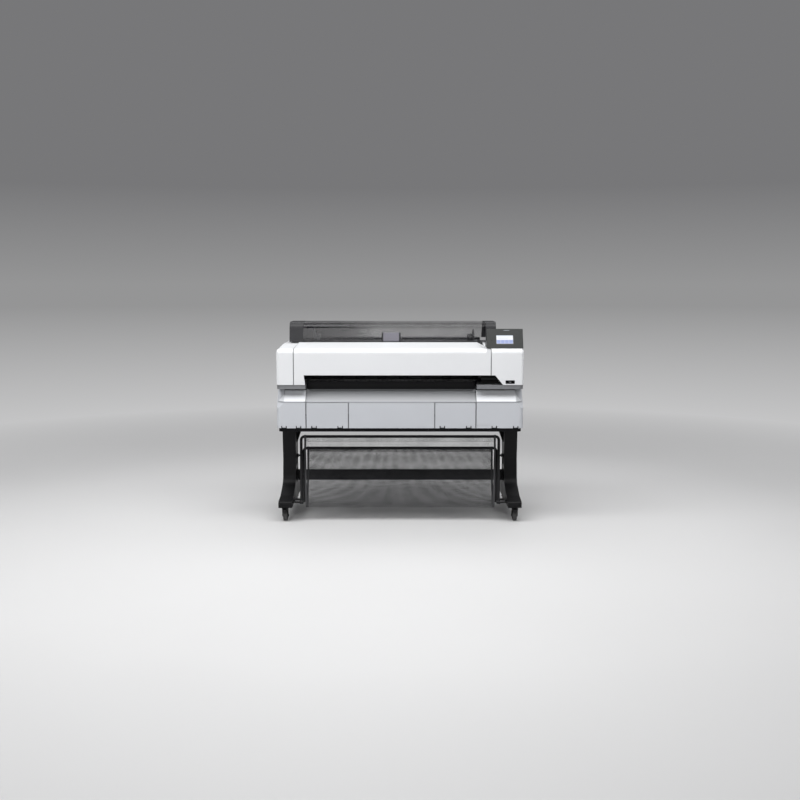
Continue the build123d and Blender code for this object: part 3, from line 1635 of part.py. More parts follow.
def build():
    """Make every sub-part and write it."""
    os.makedirs("parts", exist_ok=True)
    write("base_pan", base_pan())
    write("side_frames", side_frames())
    write("side_cover_left", side_cover_left())
    write("side_cover_right", side_cover_right())
    write("front_cover", front_cover())
    write("lower_side_panels", lower_side_panels())
    write("front_panel", front_panel())
    guide_left = (exit_left + seam, centre_panel_left - seam / 2)
    guide_right = (centre_panel_right + seam / 2, exit_right - seam)
    write("paper_guide_left", folding_panel(guide_left, guide_top - seam, left_guide_knuckles))
    write("paper_guide_right", folding_panel(guide_right, guide_top - seam, right_guide_knuckles))
    write("cartridge_cover", cartridge_cover())
    write("maintenance_cover", corner_cover(exit_left - seam, -body_width / 2, waste_knuckles))
    write("trim_bands", trim_bands())
    write("rear_cover", rear_cover())
    write("mains_inlet", mains_inlet())
    write("roll_cover_window", roll_cover_window())
    write("roll_cover_frame", roll_cover_frame())
    write("roll_tray", roll_tray())
    write("spindle_holders", spindle_holders())
    write("roll_spindle", roll_spindle())
    write("spindle_flange", spindle_flange())
    write("platen", platen())
    write("feed_roller", feed_roller())
    write("pinch_rollers", pinch_rollers())
    write("pinch_arms", pinch_arms())
    write("carriage_rail", carriage_rail())
    write("carriage_belt", carriage_belt())
    write("idler_pulley", idler_pulley())
    write("drive_pulley", drive_pulley())
    write("carriage_motor", carriage_motor())
    write("carriage", carriage())
    write("print_head", print_head())
    write("capping_station", capping_station())
    write("cartridge_bay", cartridge_bay())
    for index in range(cartridge_count):
        write("cartridge_" + str(index + 1), cartridge(index))
    write("maintenance_box", maintenance_box())
    write("control_panel", control_panel())
    write("lcd_screen", lcd_screen())
    write("power_button", power_button())
    write("leg_left", leg(-1))
    write("leg_right", leg(1))
    write("crossbeam", crossbeam())
    write("knee_braces", knee_braces())
    write("stand_bolts", stand_bolts())
    for side, side_name in ((-1, "left"), (1, "right")):
        for end, end_name in ((-1, "front"), (1, "rear")):
            write("caster_fork_" + end_name + "_" + side_name, caster_fork(side, end))
            write("caster_wheel_" + end_name + "_" + side_name, caster_wheel(side, end))
        write("brake_pedal_" + side_name, brake_pedal(side))
    write("basket_front_frame", basket_front_frame())
    write("basket_rear_frame", basket_rear_frame())
    write("basket_cloth_front", basket_cloth_front())
    write("basket_cloth_rear", basket_cloth_rear())


build()
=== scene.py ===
import math
from functools import partial

import bmesh
import bpy
from mathutils import Matrix, Vector


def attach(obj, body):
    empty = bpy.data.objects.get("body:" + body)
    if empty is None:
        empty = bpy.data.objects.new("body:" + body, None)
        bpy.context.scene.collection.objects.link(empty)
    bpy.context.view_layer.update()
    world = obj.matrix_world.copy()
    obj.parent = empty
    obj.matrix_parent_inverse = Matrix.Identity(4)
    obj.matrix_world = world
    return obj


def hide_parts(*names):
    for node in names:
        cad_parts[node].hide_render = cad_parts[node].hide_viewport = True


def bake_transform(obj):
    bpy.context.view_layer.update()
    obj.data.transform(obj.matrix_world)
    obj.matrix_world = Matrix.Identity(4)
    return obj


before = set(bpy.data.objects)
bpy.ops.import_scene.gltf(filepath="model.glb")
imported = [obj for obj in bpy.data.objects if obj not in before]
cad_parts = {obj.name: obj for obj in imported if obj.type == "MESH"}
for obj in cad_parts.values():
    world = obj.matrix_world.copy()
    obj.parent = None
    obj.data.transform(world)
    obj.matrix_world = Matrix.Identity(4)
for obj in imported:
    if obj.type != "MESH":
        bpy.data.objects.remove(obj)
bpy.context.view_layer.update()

# Studio.
# A pale floor without an end, a grey surround with a dark belt and a pale dome, and soft boxes.
# The camera looks at the front from chest height, as the photograph does.
floor_colour = (0.62, 0.62, 0.62, 1.0)
floor_half = 60.0
fade_start = 2.6
fade_end = 5.5
camera_range = 6.1
horizon_colour = (0.30, 0.30, 0.303, 1.0)
near_colour = (0.62, 0.62, 0.625, 1.0)
upper_colour = (0.185, 0.185, 0.19, 1.0)
shade_colour = (0.05, 0.05, 0.053, 1.0)
dome_colour = (0.44, 0.44, 0.45, 1.0)
sky_bands = ((0.26, upper_colour), (0.32, shade_colour), (0.52, shade_colour), (0.68, dome_colour))


def new_mesh_object(name, points, faces):
    """Object with its place in its mesh."""
    mesh = bpy.data.meshes.new(name)
    mesh.from_pydata([tuple(p) for p in points], [], [tuple(f) for f in faces])
    mesh.update()
    piece = bpy.data.objects.new(name, mesh)
    bpy.context.scene.collection.objects.link(piece)
    return piece


def feed(node, inputs):
    """Give a node's inputs their values, or the outputs that drive them."""
    for key, value in dict(inputs).items():
        if isinstance(value, bpy.types.NodeSocket):
            node.id_data.links.new(value, node.inputs[key])
        else:
            node.inputs[key].default_value = value


def add_node(tree, kind, inputs=(), **settings):
    """New node with its settings and inputs."""
    node = tree.nodes.new(kind)
    for key, value in settings.items():
        setattr(node, key, value)
    feed(node, inputs)
    return node


class Paint:
    """The shader nodes of one material."""

    def __init__(self, material):
        self.tree = material.node_tree

    def add(self, kind, inputs=(), **settings):
        return add_node(self.tree, kind, inputs, **settings)

    def set(self, name, value):
        """One input of the Principled shader."""
        feed(self.tree.nodes["Principled BSDF"], {name: value})

    def coordinates(self, stretch=(1.0, 1.0, 1.0), shift=(0.0, 0.0, 0.0), turn=(0.0, 0.0, 0.0)):
        """Object coordinates, stretched, turned and shifted."""
        own = self.add("ShaderNodeTexCoord").outputs["Object"]
        placed = {"Vector": own, "Scale": stretch, "Location": shift, "Rotation": turn}
        return self.add("ShaderNodeMapping", placed).outputs["Vector"]

    def axes(self, source=None):
        """The three coordinates as separate outputs."""
        split = self.add("ShaderNodeSeparateXYZ", {"Vector": source or self.coordinates()})
        return split.outputs["X"], split.outputs["Y"], split.outputs["Z"]

    def length(self, source):
        """Length of a vector."""
        return self.add("ShaderNodeVectorMath", {0: source}, operation="LENGTH").outputs["Value"]

    def noise(self, scale, detail=3.0, stretch=(1.0, 1.0, 1.0)):
        """Noise on the object's own coordinates; scale is in features per metre."""
        given = {"Scale": scale, "Detail": detail, "Vector": self.coordinates(stretch)}
        return self.add("ShaderNodeTexNoise", given).outputs["Fac"]

    def spread(self, source, low, high, start=0.3, end=0.7):
        """Map a part of a value's range, 0.3 to 0.7 for a noise, onto another range."""
        given = {"Value": source, "From Min": start, "From Max": end, "To Min": low, "To Max": high}
        return self.add("ShaderNodeMapRange", given).outputs["Result"]

    def blend(self, share, first, second):
        """Mix two colours, or the outputs that give them, by a share."""
        given = {"Factor": share, "A": first, "B": second}
        return self.add("ShaderNodeMix", given, data_type="RGBA").outputs["Result"]

    def math(self, operation, first, second=0.0):
        """One Math node; each side is a number or an output."""
        given = {0: first, 1: second}
        return self.add("ShaderNodeMath", given, operation=operation).outputs["Value"]

    def both(self, first, second):
        """1 where two masks are both 1, else 0."""
        return self.math("MULTIPLY", first, second)

    def inside(self, value, low, high):
        """1 where a value lies between two numbers, else 0."""
        return self.both(self.math("GREATER_THAN", value, low), self.math("LESS_THAN", value, high))

    def round_edge(self, radius):
        """Normal of slightly rounded edges."""
        return self.add("ShaderNodeBevel", {"Radius": radius}, samples=4).outputs["Normal"]

    def bump(self, height, strength, distance, normal=(), **settings):
        """Relief over the plain normal or another one; it also feeds the shader."""
        given = {"Height": height, "Strength": strength, "Distance": distance, **dict(normal)}
        relief = self.add("ShaderNodeBump", given, **settings).outputs["Normal"]
        self.set("Normal", relief)
        return relief


def new_material(name):
    """New material with a Principled shader; gives the material and its paint."""
    material = bpy.data.materials.new(name)
    material.use_nodes = True
    tree = material.node_tree
    tree.nodes.clear()
    shader = add_node(tree, "ShaderNodeBsdfPrincipled")
    add_node(tree, "ShaderNodeOutputMaterial", {"Surface": shader.outputs["BSDF"]})
    return material, Paint(material)


def toned(colour, share, lift=0.0):
    """Colour made darker or lighter."""
    return tuple(min(1.0, c * share + lift) for c in colour[:3]) + (1.0,)


floor = new_mesh_object(
    "studio_floor",
    [(x * floor_half, y * floor_half, 0) for x, y in ((-1, -1), (1, -1), (1, 1), (-1, 1))],
    [(0, 1, 2, 3)],
)
floor_paint, paint = new_material("studio_floor_paint")
paint.set("Base Color", floor_colour)
paint.set("Roughness", paint.spread(paint.noise(0.8), 0.5, 0.6))
reach = paint.length(paint.coordinates())
closeness = paint.math("DIVIDE", 1.0, paint.math("ADD", reach, camera_range))
near_share = paint.spread(closeness, 0.0, 1.0, 0.015, 0.105)
glow = paint.blend(near_share, horizon_colour, near_colour)
far_glow = paint.add("ShaderNodeEmission", {"Color": glow})
fade_share = paint.spread(reach, 0.0, 1.0, fade_start, fade_end)
near_floor = paint.tree.nodes["Principled BSDF"].outputs["BSDF"]
faded = {"Fac": fade_share, 1: near_floor, 2: far_glow.outputs["Emission"]}
fade = paint.add("ShaderNodeMixShader", faded)
feed(paint.tree.nodes["Material Output"], {"Surface": fade.outputs["Shader"]})
floor.data.materials.append(floor_paint)

world = bpy.data.worlds.new("studio_surround")
world.use_nodes = True
sky_place = add_node(world.node_tree, "ShaderNodeTexCoord").outputs["Generated"]
sky_height = add_node(world.node_tree, "ShaderNodeSeparateXYZ", {"Vector": sky_place})
sky_tone = add_node(world.node_tree, "ShaderNodeValToRGB", {"Fac": sky_height.outputs["Z"]})
sky_tone.color_ramp.elements[0].position = 0.0
sky_tone.color_ramp.elements[0].color = horizon_colour
sky_tone.color_ramp.elements[1].position = 0.09
sky_tone.color_ramp.elements[1].color = upper_colour
for height, colour in sky_bands:
    stop = sky_tone.color_ramp.elements.new(height)
    stop.color = colour
feed(world.node_tree.nodes["Background"], {"Color": sky_tone.outputs["Color"]})
bpy.context.scene.world = world
bpy.context.scene.view_settings.view_transform = "Standard"


def soft_box(name, place, target, size, power):
    """Rectangular soft light aimed at a point."""
    light = bpy.data.lights.new(name, "AREA")
    light.shape = "RECTANGLE"
    light.size, light.size_y = size
    light.energy = power
    lamp = bpy.data.objects.new(name, light)
    lamp.location = place
    lamp.rotation_euler = (Vector(target) - Vector(place)).to_track_quat("-Z", "Y").to_euler()
    bpy.context.scene.collection.objects.link(lamp)


soft_box("soft_box_left", (-2.7, -1.4, 3.6), (0.0, 0.0, 0.7), (1.4, 2.0), 56)
soft_box("soft_box_right", (2.7, -1.4, 3.6), (0.0, 0.0, 0.7), (1.4, 2.0), 22)
soft_box("soft_box_top", (0.0, -1.7, 3.8), (0.0, -0.2, 0.5), (4.6, 2.2), 130)
soft_box("soft_box_front", (-0.9, -4.5, 2.0), (0.0, 0.0, 0.75), (3.2, 1.0), 34)
soft_box("soft_box_back", (0.0, 1.6, 3.9), (0.0, 0.2, 0.8), (4.0, 1.6), 40)

camera_place = (0.0, -6.131, 1.346)
camera_pitch = math.radians(6.36)
camera_data = bpy.data.cameras.new("photo_camera")
camera_data.sensor_width = 36.0
camera_data.lens = 46.8
camera = bpy.data.objects.new("photo_camera", camera_data)
camera.location = camera_place
camera.rotation_euler = (math.pi / 2 - camera_pitch, 0.0, 0.0)
bpy.context.scene.collection.objects.link(camera)
bpy.context.scene.camera = camera

# Floor pan.
# A black moulded tray with air slots in its floor; the pins of the fold-down panels stand on its rim.


def moulded(
    name, colour, rough, grain=1400.0, grain_height=0.00008, variation=0.12, shine=0.5, wear=0.04
):
    """Injection-moulded plastic: spark-eroded grain, slow gloss drift and slightly rounded edges."""
    material, paint = new_material(name)
    tone_share = paint.spread(paint.noise(4.0), 0.0, 0.5)
    paint.set("Base Color", paint.blend(tone_share, colour, toned(colour, 1.0 - variation)))
    paint.set("Roughness", paint.spread(paint.noise(45.0, 4.0), rough - wear, rough + wear))
    paint.set("Specular IOR Level", shine)
    fine = paint.noise(grain, 2.0)
    paint.bump(fine, 0.3, grain_height, {"Normal": paint.round_edge(0.0008)})
    return material


def dress(material, *names):
    """Give CAD nodes their finish."""
    for name in names:
        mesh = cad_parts[name].data
        mesh.materials.clear()
        mesh.materials.append(material)


pan_plastic = moulded("base_pan_black", (0.006, 0.006, 0.007, 1.0), 0.5, shine=0.12)
dress(pan_plastic, "base_pan")

# Side plates, pinch bar and carriage rail.
# Pressed and folded steel sheet with the faint lines of the rolling mill: the plates and the
# rail are zinc plated, the arms of the pinch bar are blackened.


def worked_metal(name, colour, rough, stretch=(1.0, 1.0, 1.0), scale=60.0, bump_height=0.0001):
    """Metal with drawn or turned marks along one direction."""
    material, paint = new_material(name)
    marks = paint.noise(scale, 4.0, stretch)
    tone_share = paint.spread(paint.noise(5.0), 0.0, 0.6)
    paint.set("Metallic", 1.0)
    paint.set("Base Color", paint.blend(tone_share, colour, toned(colour, 0.72)))
    paint.set("Roughness", paint.spread(marks, rough - 0.08, rough + 0.1))
    paint.bump(marks, 0.2, bump_height)
    return material


plated_steel = worked_metal("zinc_plated_sheet", (0.52, 0.53, 0.54, 1.0), 0.35, (1.0, 1.0, 12.0))
dress(plated_steel, "side_frames", "carriage_rail")
blackened_steel = worked_metal("blackened_sheet", (0.05, 0.05, 0.055, 1.0), 0.45, (1.0, 12.0, 12.0))
dress(blackened_steel, "pinch_arms")

# Stand: two legs with long feet, a box beam between them and pressed knee braces.
# All are steel or alloy under satin black powder coat, with a fine orange-peel skin.


def powder_coat(name, colour, sheen_rough=0.42, peel=900.0):
    """Powder coat: orange-peel bump, slow roughness drift and paler rubbed edges."""
    material, paint = new_material(name)
    drift = paint.noise(7.0)
    tone = paint.blend(paint.spread(drift, 0.0, 0.35), colour, toned(colour, 1.5, 0.004))
    rounded = paint.round_edge(0.0015)
    flat_normal = paint.add("ShaderNodeNewGeometry").outputs["Normal"]
    facing = paint.add("ShaderNodeVectorMath", {0: rounded, 1: flat_normal}, operation="DOT_PRODUCT")
    rubbed = paint.spread(facing.outputs["Value"], 0.0, 0.5, 0.995, 0.8)
    paint.set("Base Color", paint.blend(rubbed, tone, toned(colour, 3.0, 0.03)))
    paint.set("Specular IOR Level", 0.14)
    paint.set("Roughness", paint.spread(drift, sheen_rough - 0.06, sheen_rough + 0.08))
    paint.bump(paint.noise(peel, 2.0), 0.25, 0.0003, {"Normal": rounded})
    return material


black_coat = powder_coat("black_powder_coat", (0.005, 0.005, 0.0055, 1.0))
dress(black_coat, "leg_left", "leg_right", "crossbeam", "knee_braces")

# Bolt heads of the stand.
# Hexagon steel heads in black oxide, at the beam's flanges and the top plates.
black_oxide = worked_metal("black_oxide_steel", (0.09, 0.09, 0.1, 1.0), 0.4, scale=300.0)
dress(black_oxide, "stand_bolts")

# Casters.
# Pressed forks in the stand's black hold twin-dished wheels: a nylon hub with moulded ribs
# on both sides and a softer grey tread round it. The front pair has a nylon foot pedal.
wheel_radius = 0.030
tread_inner = 0.0245
hub_rib_count = 6
hub_rib_inner = 0.0115
hub_rib_outer = 0.0235
hub_rib_width = 0.0022
hub_rib_height = 0.0024
hub_recess_x = 0.009
caster_x = 0.655
caster_y = 0.300
caster_trail = 0.020
fork_outer_x = 0.0175
rivet_profile = ((0.0056, -0.0002), (0.0056, 0.0006), (0.0047, 0.0016), (0.0028, 0.0022), (0, 0.0024))
tread_clean = (0.035, 0.035, 0.037, 1.0)
tread_dusty = (0.09, 0.088, 0.085, 1.0)
hub_black = (0.012, 0.012, 0.013, 1.0)
dress(
    black_coat,
    "caster_fork_front_left",
    "caster_fork_front_right",
    "caster_fork_rear_left",
    "caster_fork_rear_right",
)
dark_nylon = moulded("dark_nylon", (0.012, 0.012, 0.013, 1.0), 0.5, shine=0.2)
dress(dark_nylon, "brake_pedal_left", "brake_pedal_right")


def tyre(name, centre):
    """Hub nylon inside and tread rubber outside a radius round the wheel's own axis."""
    material, paint = new_material(name)
    away = paint.length(paint.coordinates((0.0, 1.0, 1.0), (0.0, -centre[1], -centre[2])))
    on_tread = paint.math("GREATER_THAN", away, tread_inner)
    dust = paint.spread(paint.noise(90.0, 5.0), 0.0, 0.7)
    rubber = paint.blend(dust, tread_clean, tread_dusty)
    paint.set("Base Color", paint.blend(on_tread, hub_black, rubber))
    paint.set("Roughness", paint.spread(on_tread, 0.42, 0.7, 0.0, 1.0))
    paint.bump(paint.noise(700.0, 2.0), 0.3, 0.0002)
    return material


def named_tree(name, sockets):
    """Empty Geometry Nodes tree with named inputs; gives the tree, its group input and a node maker."""
    tree = bpy.data.node_groups.new(name, "GeometryNodeTree")
    tree.interface.new_socket("Geometry", in_out="OUTPUT", socket_type="NodeSocketGeometry")
    for label, kind in sockets.items():
        tree.interface.new_socket(label, in_out="INPUT", socket_type="NodeSocket" + kind)
    return tree, add_node(tree, "NodeGroupInput"), partial(add_node, tree)


def end_tree(given, place, instances):
    """Realise the instances, give them their finish and send them out."""
    solid = place("GeometryNodeRealizeInstances", {"Geometry": instances})
    finished = place(
        "GeometryNodeSetMaterial",
        {"Geometry": solid.outputs["Geometry"], "Material": given.outputs["Finish"]},
    )
    place("NodeGroupOutput", {"Geometry": finished.outputs["Geometry"]})


def grown(name, tree, values, points=(), edges=(), turn=None):
    """Run a tree on a carrier of points and keep the result as a plain mesh object at the origin."""
    mesh = bpy.data.meshes.new(name)
    mesh.from_pydata([tuple(p) for p in points], list(edges), [])
    carrier = bpy.data.objects.new(name + "_carrier", mesh)
    bpy.context.scene.collection.objects.link(carrier)
    modifier = carrier.modifiers.new("tree", "NODES")
    modifier.node_group = tree
    identifiers = {s.name: s.identifier for s in tree.interface.items_tree if s.in_out == "INPUT"}
    for label, value in values.items():
        modifier[identifiers[label]] = value
    bpy.context.view_layer.update()
    evaluated = carrier.evaluated_get(bpy.context.evaluated_depsgraph_get())
    result = bpy.data.meshes.new_from_object(evaluated)
    bpy.data.objects.remove(carrier)
    if turn is not None:
        result.transform(turn)
    result.name = name
    piece = bpy.data.objects.new(name, result)
    bpy.context.scene.collection.objects.link(piece)
    return piece


rib_values = {
    "Rib count": hub_rib_count,
    "Inner radius": hub_rib_inner,
    "Outer radius": hub_rib_outer,
    "Rib width": hub_rib_width,
    "Rib height": hub_rib_height,
    "Finish": dark_nylon,
}
rib_kinds = ("Int", "Float", "Float", "Float", "Float", "Material")
rib_tree, given, place = named_tree("hub_ribs", dict(zip(rib_values, rib_kinds)))
both_radii = {0: given.outputs["Outer radius"], 1: given.outputs["Inner radius"]}
reach = place("ShaderNodeMath", both_radii, operation="SUBTRACT")
sum_of = place("ShaderNodeMath", both_radii)
middle = place("ShaderNodeMath", {0: sum_of.outputs[0], 1: 0.5}, operation="MULTIPLY")
ring = place(
    "GeometryNodeMeshCircle",
    {"Vertices": given.outputs["Rib count"], "Radius": middle.outputs[0]},
)
rib_size = place(
    "ShaderNodeCombineXYZ",
    {"X": reach.outputs[0], "Y": given.outputs["Rib width"], "Z": given.outputs["Rib height"]},
)
rib = place("GeometryNodeMeshCube", {"Size": rib_size.outputs[0]})
index = place("GeometryNodeInputIndex")
full_turn = place("ShaderNodeMath", {0: math.tau, 1: given.outputs["Rib count"]}, operation="DIVIDE")
angle = place("ShaderNodeMath", {0: index.outputs[0], 1: full_turn.outputs[0]}, operation="MULTIPLY")
heading = place("ShaderNodeCombineXYZ", {"Z": angle.outputs[0]})
spokes = place(
    "GeometryNodeInstanceOnPoints",
    {"Points": ring.outputs["Mesh"], "Instance": rib.outputs["Mesh"], "Rotation": heading.outputs[0]},
)
end_tree(given, place, spokes.outputs["Instances"])

for side, side_name in ((-1, "left"), (1, "right")):
    for end, end_name in ((-1, "front"), (1, "rear")):
        corner = end_name + "_" + side_name
        centre = (side * caster_x, end * (caster_y - caster_trail), wheel_radius)
        dress(tyre("tyre_" + corner, centre), "caster_wheel_" + corner)
        for face in (-1, 1):
            rib_x = centre[0] + face * (hub_recess_x + hub_rib_height / 2)
            to_hub = Matrix.Translation((rib_x, centre[1], centre[2]))
            ribs = grown(
                "hub_ribs_%s_%s" % (corner, "inner" if face != side else "outer"),
                rib_tree,
                rib_values,
                turn=to_hub @ Matrix.Rotation(math.radians(90), 4, "Y"),
            )
            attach(ribs, "caster_wheel_" + corner)


def turned(profile, axis_place, axis, segments=24):
    """Closed turned shape from (radius, along) pairs round an axis."""
    shape = bmesh.new()
    angles = [math.tau * step / segments for step in range(segments)]
    rings = []
    for radius, along in profile:
        if radius == 0:
            rings.append([shape.verts.new((0, 0, along))])
            continue
        spots = [(radius * math.cos(a), radius * math.sin(a), along) for a in angles]
        rings.append([shape.verts.new(spot) for spot in spots])
    for low, high in zip(rings, rings[1:]):
        for step in range(segments):
            after = (step + 1) % segments
            round_face = ((low, step), (low, after), (high, after), (high, step))
            corners = [ring[at % len(ring)] for ring, at in round_face]
            shape.faces.new(list(dict.fromkeys(corners)))
    if len(rings[0]) > 1:
        shape.faces.new(rings[0][::-1])
    if len(rings[-1]) > 1:
        shape.faces.new(rings[-1])
    bmesh.ops.recalc_face_normals(shape, faces=shape.faces)
    heading = Vector(axis).to_track_quat("Z", "Y").to_matrix().to_4x4()
    shape.transform(Matrix.Translation(axis_place) @ heading)
    return shape


def piece_from(name, shape, material, body):
    """Finish a mesh: keep it as an object, give it its material and let it ride."""
    mesh = bpy.data.meshes.new(name)
    shape.to_mesh(mesh)
    shape.free()
    piece = bpy.data.objects.new(name, mesh)
    bpy.context.scene.collection.objects.link(piece)
    mesh.materials.append(material)
    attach(piece, body)


for side, side_name in ((-1, "left"), (1, "right")):
    for end, end_name in ((-1, "front"), (1, "rear")):
        corner = end_name + "_" + side_name
        for face, face_name in ((-1, "west"), (1, "east")):
            rivet_x = side * caster_x + face * fork_outer_x
            rivet_y = end * (caster_y - caster_trail)
            rivet = turned(rivet_profile, (rivet_x, rivet_y, wheel_radius), (face, 0, 0))
            rivet_name = "axle_rivet_%s_%s" % (corner, face_name)
            piece_from(rivet_name, rivet, black_oxide, "caster_fork_" + corner)

# Grey lower skins: pressed side panels and moulded front panels in a finely textured cool grey.
# The outer front panels fold down on the pan's pins; the centre one is fixed, and its sloping
# paper exit carries painted shade, darker towards its top under the hood.
panel_grey = (0.49, 0.505, 0.535, 1.0)
panel_grain = 1200.0
panel_grain_height = 0.00006
slope_foot = 0.689
skin_front = -0.342
# Painted shade on the centre panel's slope: darker towards its top, under the hood.
painted_slope_shade_top = (0.165, 0.17, 0.178, 1.0)
painted_slope_shade_foot = (0.30, 0.307, 0.32, 1.0)
# Painted shade along the crease at the slope's foot.
painted_crease_shade_tone = (0.27, 0.278, 0.295, 1.0)
slope_height = 0.057
crease_drop = 0.005
crease_rise = 0.003
skin_depth = 0.001
# Painted shade in the splits between the lower front panels.
painted_split_shade_tone = (0.17, 0.175, 0.185, 1.0)
split_half = 0.0032
panel_splits = (-0.5275, -0.2895, 0.1950, 0.4260)
# Painted light: the corner covers' slopes painted paler, as if lit more.
painted_light_slope_tone = (0.64, 0.655, 0.68, 1.0)
# Painted shade for the recesses behind the guides and the narrow rims.
painted_shade_tone = (0.03, 0.031, 0.033, 1.0)


def panel_plastic(name, colour):
    """Finely textured satin plastic of the lower skins."""
    return moulded(name, colour, 0.42, panel_grain, panel_grain_height, wear=0.02)


cool_grey = panel_plastic("cool_grey_panel", panel_grey)
dress(cool_grey, "lower_side_panels")


def overlaid(material, add_tone):
    """Let a function mix a further tone over a moulded material's base colour."""
    paint = Paint(material)
    plain = paint.tree.nodes["Principled BSDF"].inputs["Base Color"].links[0].from_socket
    paint.set("Base Color", add_tone(paint, plain))
    return material


def painted_split_shade(paint, plain):
    """Painted shade: thin dark bands where the panels of the lower front meet."""
    x = paint.axes()[0]
    marks = [paint.inside(x, split - split_half, split + split_half) for split in panel_splits]
    shade = marks[0]
    for mark in marks[1:]:
        shade = paint.math("ADD", shade, mark)
    return paint.blend(shade, plain, painted_split_shade_tone)


def with_painted_crease_shade(paint, plain):
    """Painted shade: a fine dark band along the crease where the front turns into the slope."""
    z = paint.axes()[2]
    on_crease = paint.inside(z, slope_foot - crease_drop, slope_foot + crease_rise)
    return paint.blend(on_crease, plain, painted_crease_shade_tone)


def painted_slope_and_recess_shade(paint, plain):
    """Painted shade: the slope above its foot darker towards its top, and dark recesses behind the
    fold-down guides.
    """
    x, y, z = paint.axes()
    tone_start = slope_foot + 0.1 * slope_height
    tone_end = slope_foot + 0.8 * slope_height
    rise = paint.spread(z, 0.0, 1.0, tone_start, tone_end)
    slope_shade_blend = paint.blend(rise, painted_slope_shade_foot, painted_slope_shade_top)
    above_foot = paint.math("GREATER_THAN", z, slope_foot)
    upright = painted_split_shade(paint, plain)
    sloped = with_painted_crease_shade(paint, paint.blend(above_foot, upright, slope_shade_blend))
    behind_face = paint.math("GREATER_THAN", y, skin_front + skin_depth)
    below_foot = paint.math("LESS_THAN", z, slope_foot - skin_depth)
    in_shaded_recess = paint.both(behind_face, below_foot)
    return paint.blend(in_shaded_recess, sloped, painted_shade_tone)


def painted_rim_shade(paint, plain):
    """Painted shade on the narrow edges of a flat front panel, between its two faces."""
    y = paint.axes()[1]
    way = paint.axes(paint.add("ShaderNodeTexCoord").outputs["Normal"])
    turned_front = paint.math("ABSOLUTE", way[1])
    sideways = paint.math("LESS_THAN", turned_front, 0.5)
    behind_face = paint.math("GREATER_THAN", y, skin_front + skin_depth)
    on_rim = paint.both(sideways, behind_face)
    return paint.blend(on_rim, painted_split_shade(paint, plain), painted_shade_tone)


def painted_light_slope(paint, plain):
    """Corner covers: painted light on the slope over the crease, with the painted crease shade and the
    painted shade of the split beside them.
    """
    z = paint.axes()[2]
    above_foot = paint.math("GREATER_THAN", z, slope_foot)
    sloped = paint.blend(above_foot, plain, painted_light_slope_tone)
    return painted_split_shade(paint, with_painted_crease_shade(paint, sloped))


front_grey = panel_plastic("front_panel_grey", panel_grey)
dress(overlaid(front_grey, painted_slope_and_recess_shade), "front_panel")
guide_grey = panel_plastic("paper_guide_grey", panel_grey)
dress(overlaid(guide_grey, painted_rim_shade), "paper_guide_left", "paper_guide_right")
corner_grey = panel_plastic("corner_cover_grey", (0.50, 0.515, 0.545, 1.0))
dress(overlaid(corner_grey, painted_light_slope), "cartridge_cover", "maintenance_cover")

# Corner flats: the narrow moulded wall in the flat of each corner cover, from under the crease
# up to the side seam. It is part of the cover's moulding, between its rim and its side.
flat_start_x = 0.650
back_per_side = 1.119
back_per_rise = 0.92
back_per_depth = 1.760
strip_sides = (0.0110, 0.0176)
strip_faces = (0.00005, 0.0026)
strip_foot = -0.012
strip_end = 0.03995


def corner_flat_strip(name, way, body):
    """Thin wall in the plane of a corner cover's flat, from under the crease to the side seam."""
    shape = bmesh.new()
    corners = []
    for run in strip_sides:
        for depth in strip_faces:
            across = way * (flat_start_x + run)
            offset = back_per_side * run + back_per_depth * depth
            foot_y = skin_front + offset + back_per_rise * strip_foot
            end_z = slope_foot + (strip_end - offset) / back_per_rise
            corners.append(shape.verts.new((across, foot_y, slope_foot + strip_foot)))
            corners.append(shape.verts.new((across, skin_front + strip_end, end_z)))
    for ring in ((0, 1, 3, 2), (4, 6, 7, 5), (0, 4, 5, 1), (2, 3, 7, 6), (0, 2, 6, 4), (1, 5, 7, 3)):
        shape.faces.new([corners[index] for index in ring])
    bmesh.ops.recalc_face_normals(shape, faces=shape.faces)
    piece_from(name, shape, corner_grey, body)


corner_flat_strip("corner_flat_right", 1, "cartridge_cover")
corner_flat_strip("corner_flat_left", -1, "maintenance_cover")

# Trim bands.
# A darker grey moulding that runs round both ends between the grey skins and the white covers.
trim_grey = moulded("trim_grey", (0.175, 0.179, 0.188, 1.0), 0.4, shine=0.35)
dress(trim_grey, "trim_bands")

# Back panel.
# One wide grey moulding with an air grille, held by flush black screws along its edges.
back_y = 0.342
screw_radius = 0.0042
screw_socket = 0.0017
screw_rows_z = (0.552, 0.975)
screw_row_pitch = 0.190
screw_column_x = 0.664
screw_column_middle = 0.760
screw_column_pitch = 0.105
screw_column_half = 0.15
painted_socket_shade = (0.006, 0.006, 0.006, 1.0)
screw_black = (0.05, 0.05, 0.053, 1.0)
panel_grey_low = (0.43, 0.444, 0.47, 1.0)
back_grey, paint = new_material("back_panel_grey")
x, y, z = paint.axes()


def from_step(value, pitch):
    """Distance from the nearest multiple of a pitch."""
    steps = paint.math("ROUND", paint.math("DIVIDE", value, pitch))
    return paint.math("SUBTRACT", value, paint.math("MULTIPLY", steps, pitch))


def from_row(value, places):
    """Distance from the nearest of two places."""
    offsets = [paint.math("SUBTRACT", value, place) for place in places]
    first, second = (paint.math("ABSOLUTE", offset) for offset in offsets)
    return paint.math("MINIMUM", first, second)


def across_distance(first, second):
    """Length of a flat offset."""
    squares = [paint.math("MULTIPLY", offset, offset) for offset in (first, second)]
    return paint.math("SQRT", paint.math("ADD", *squares))


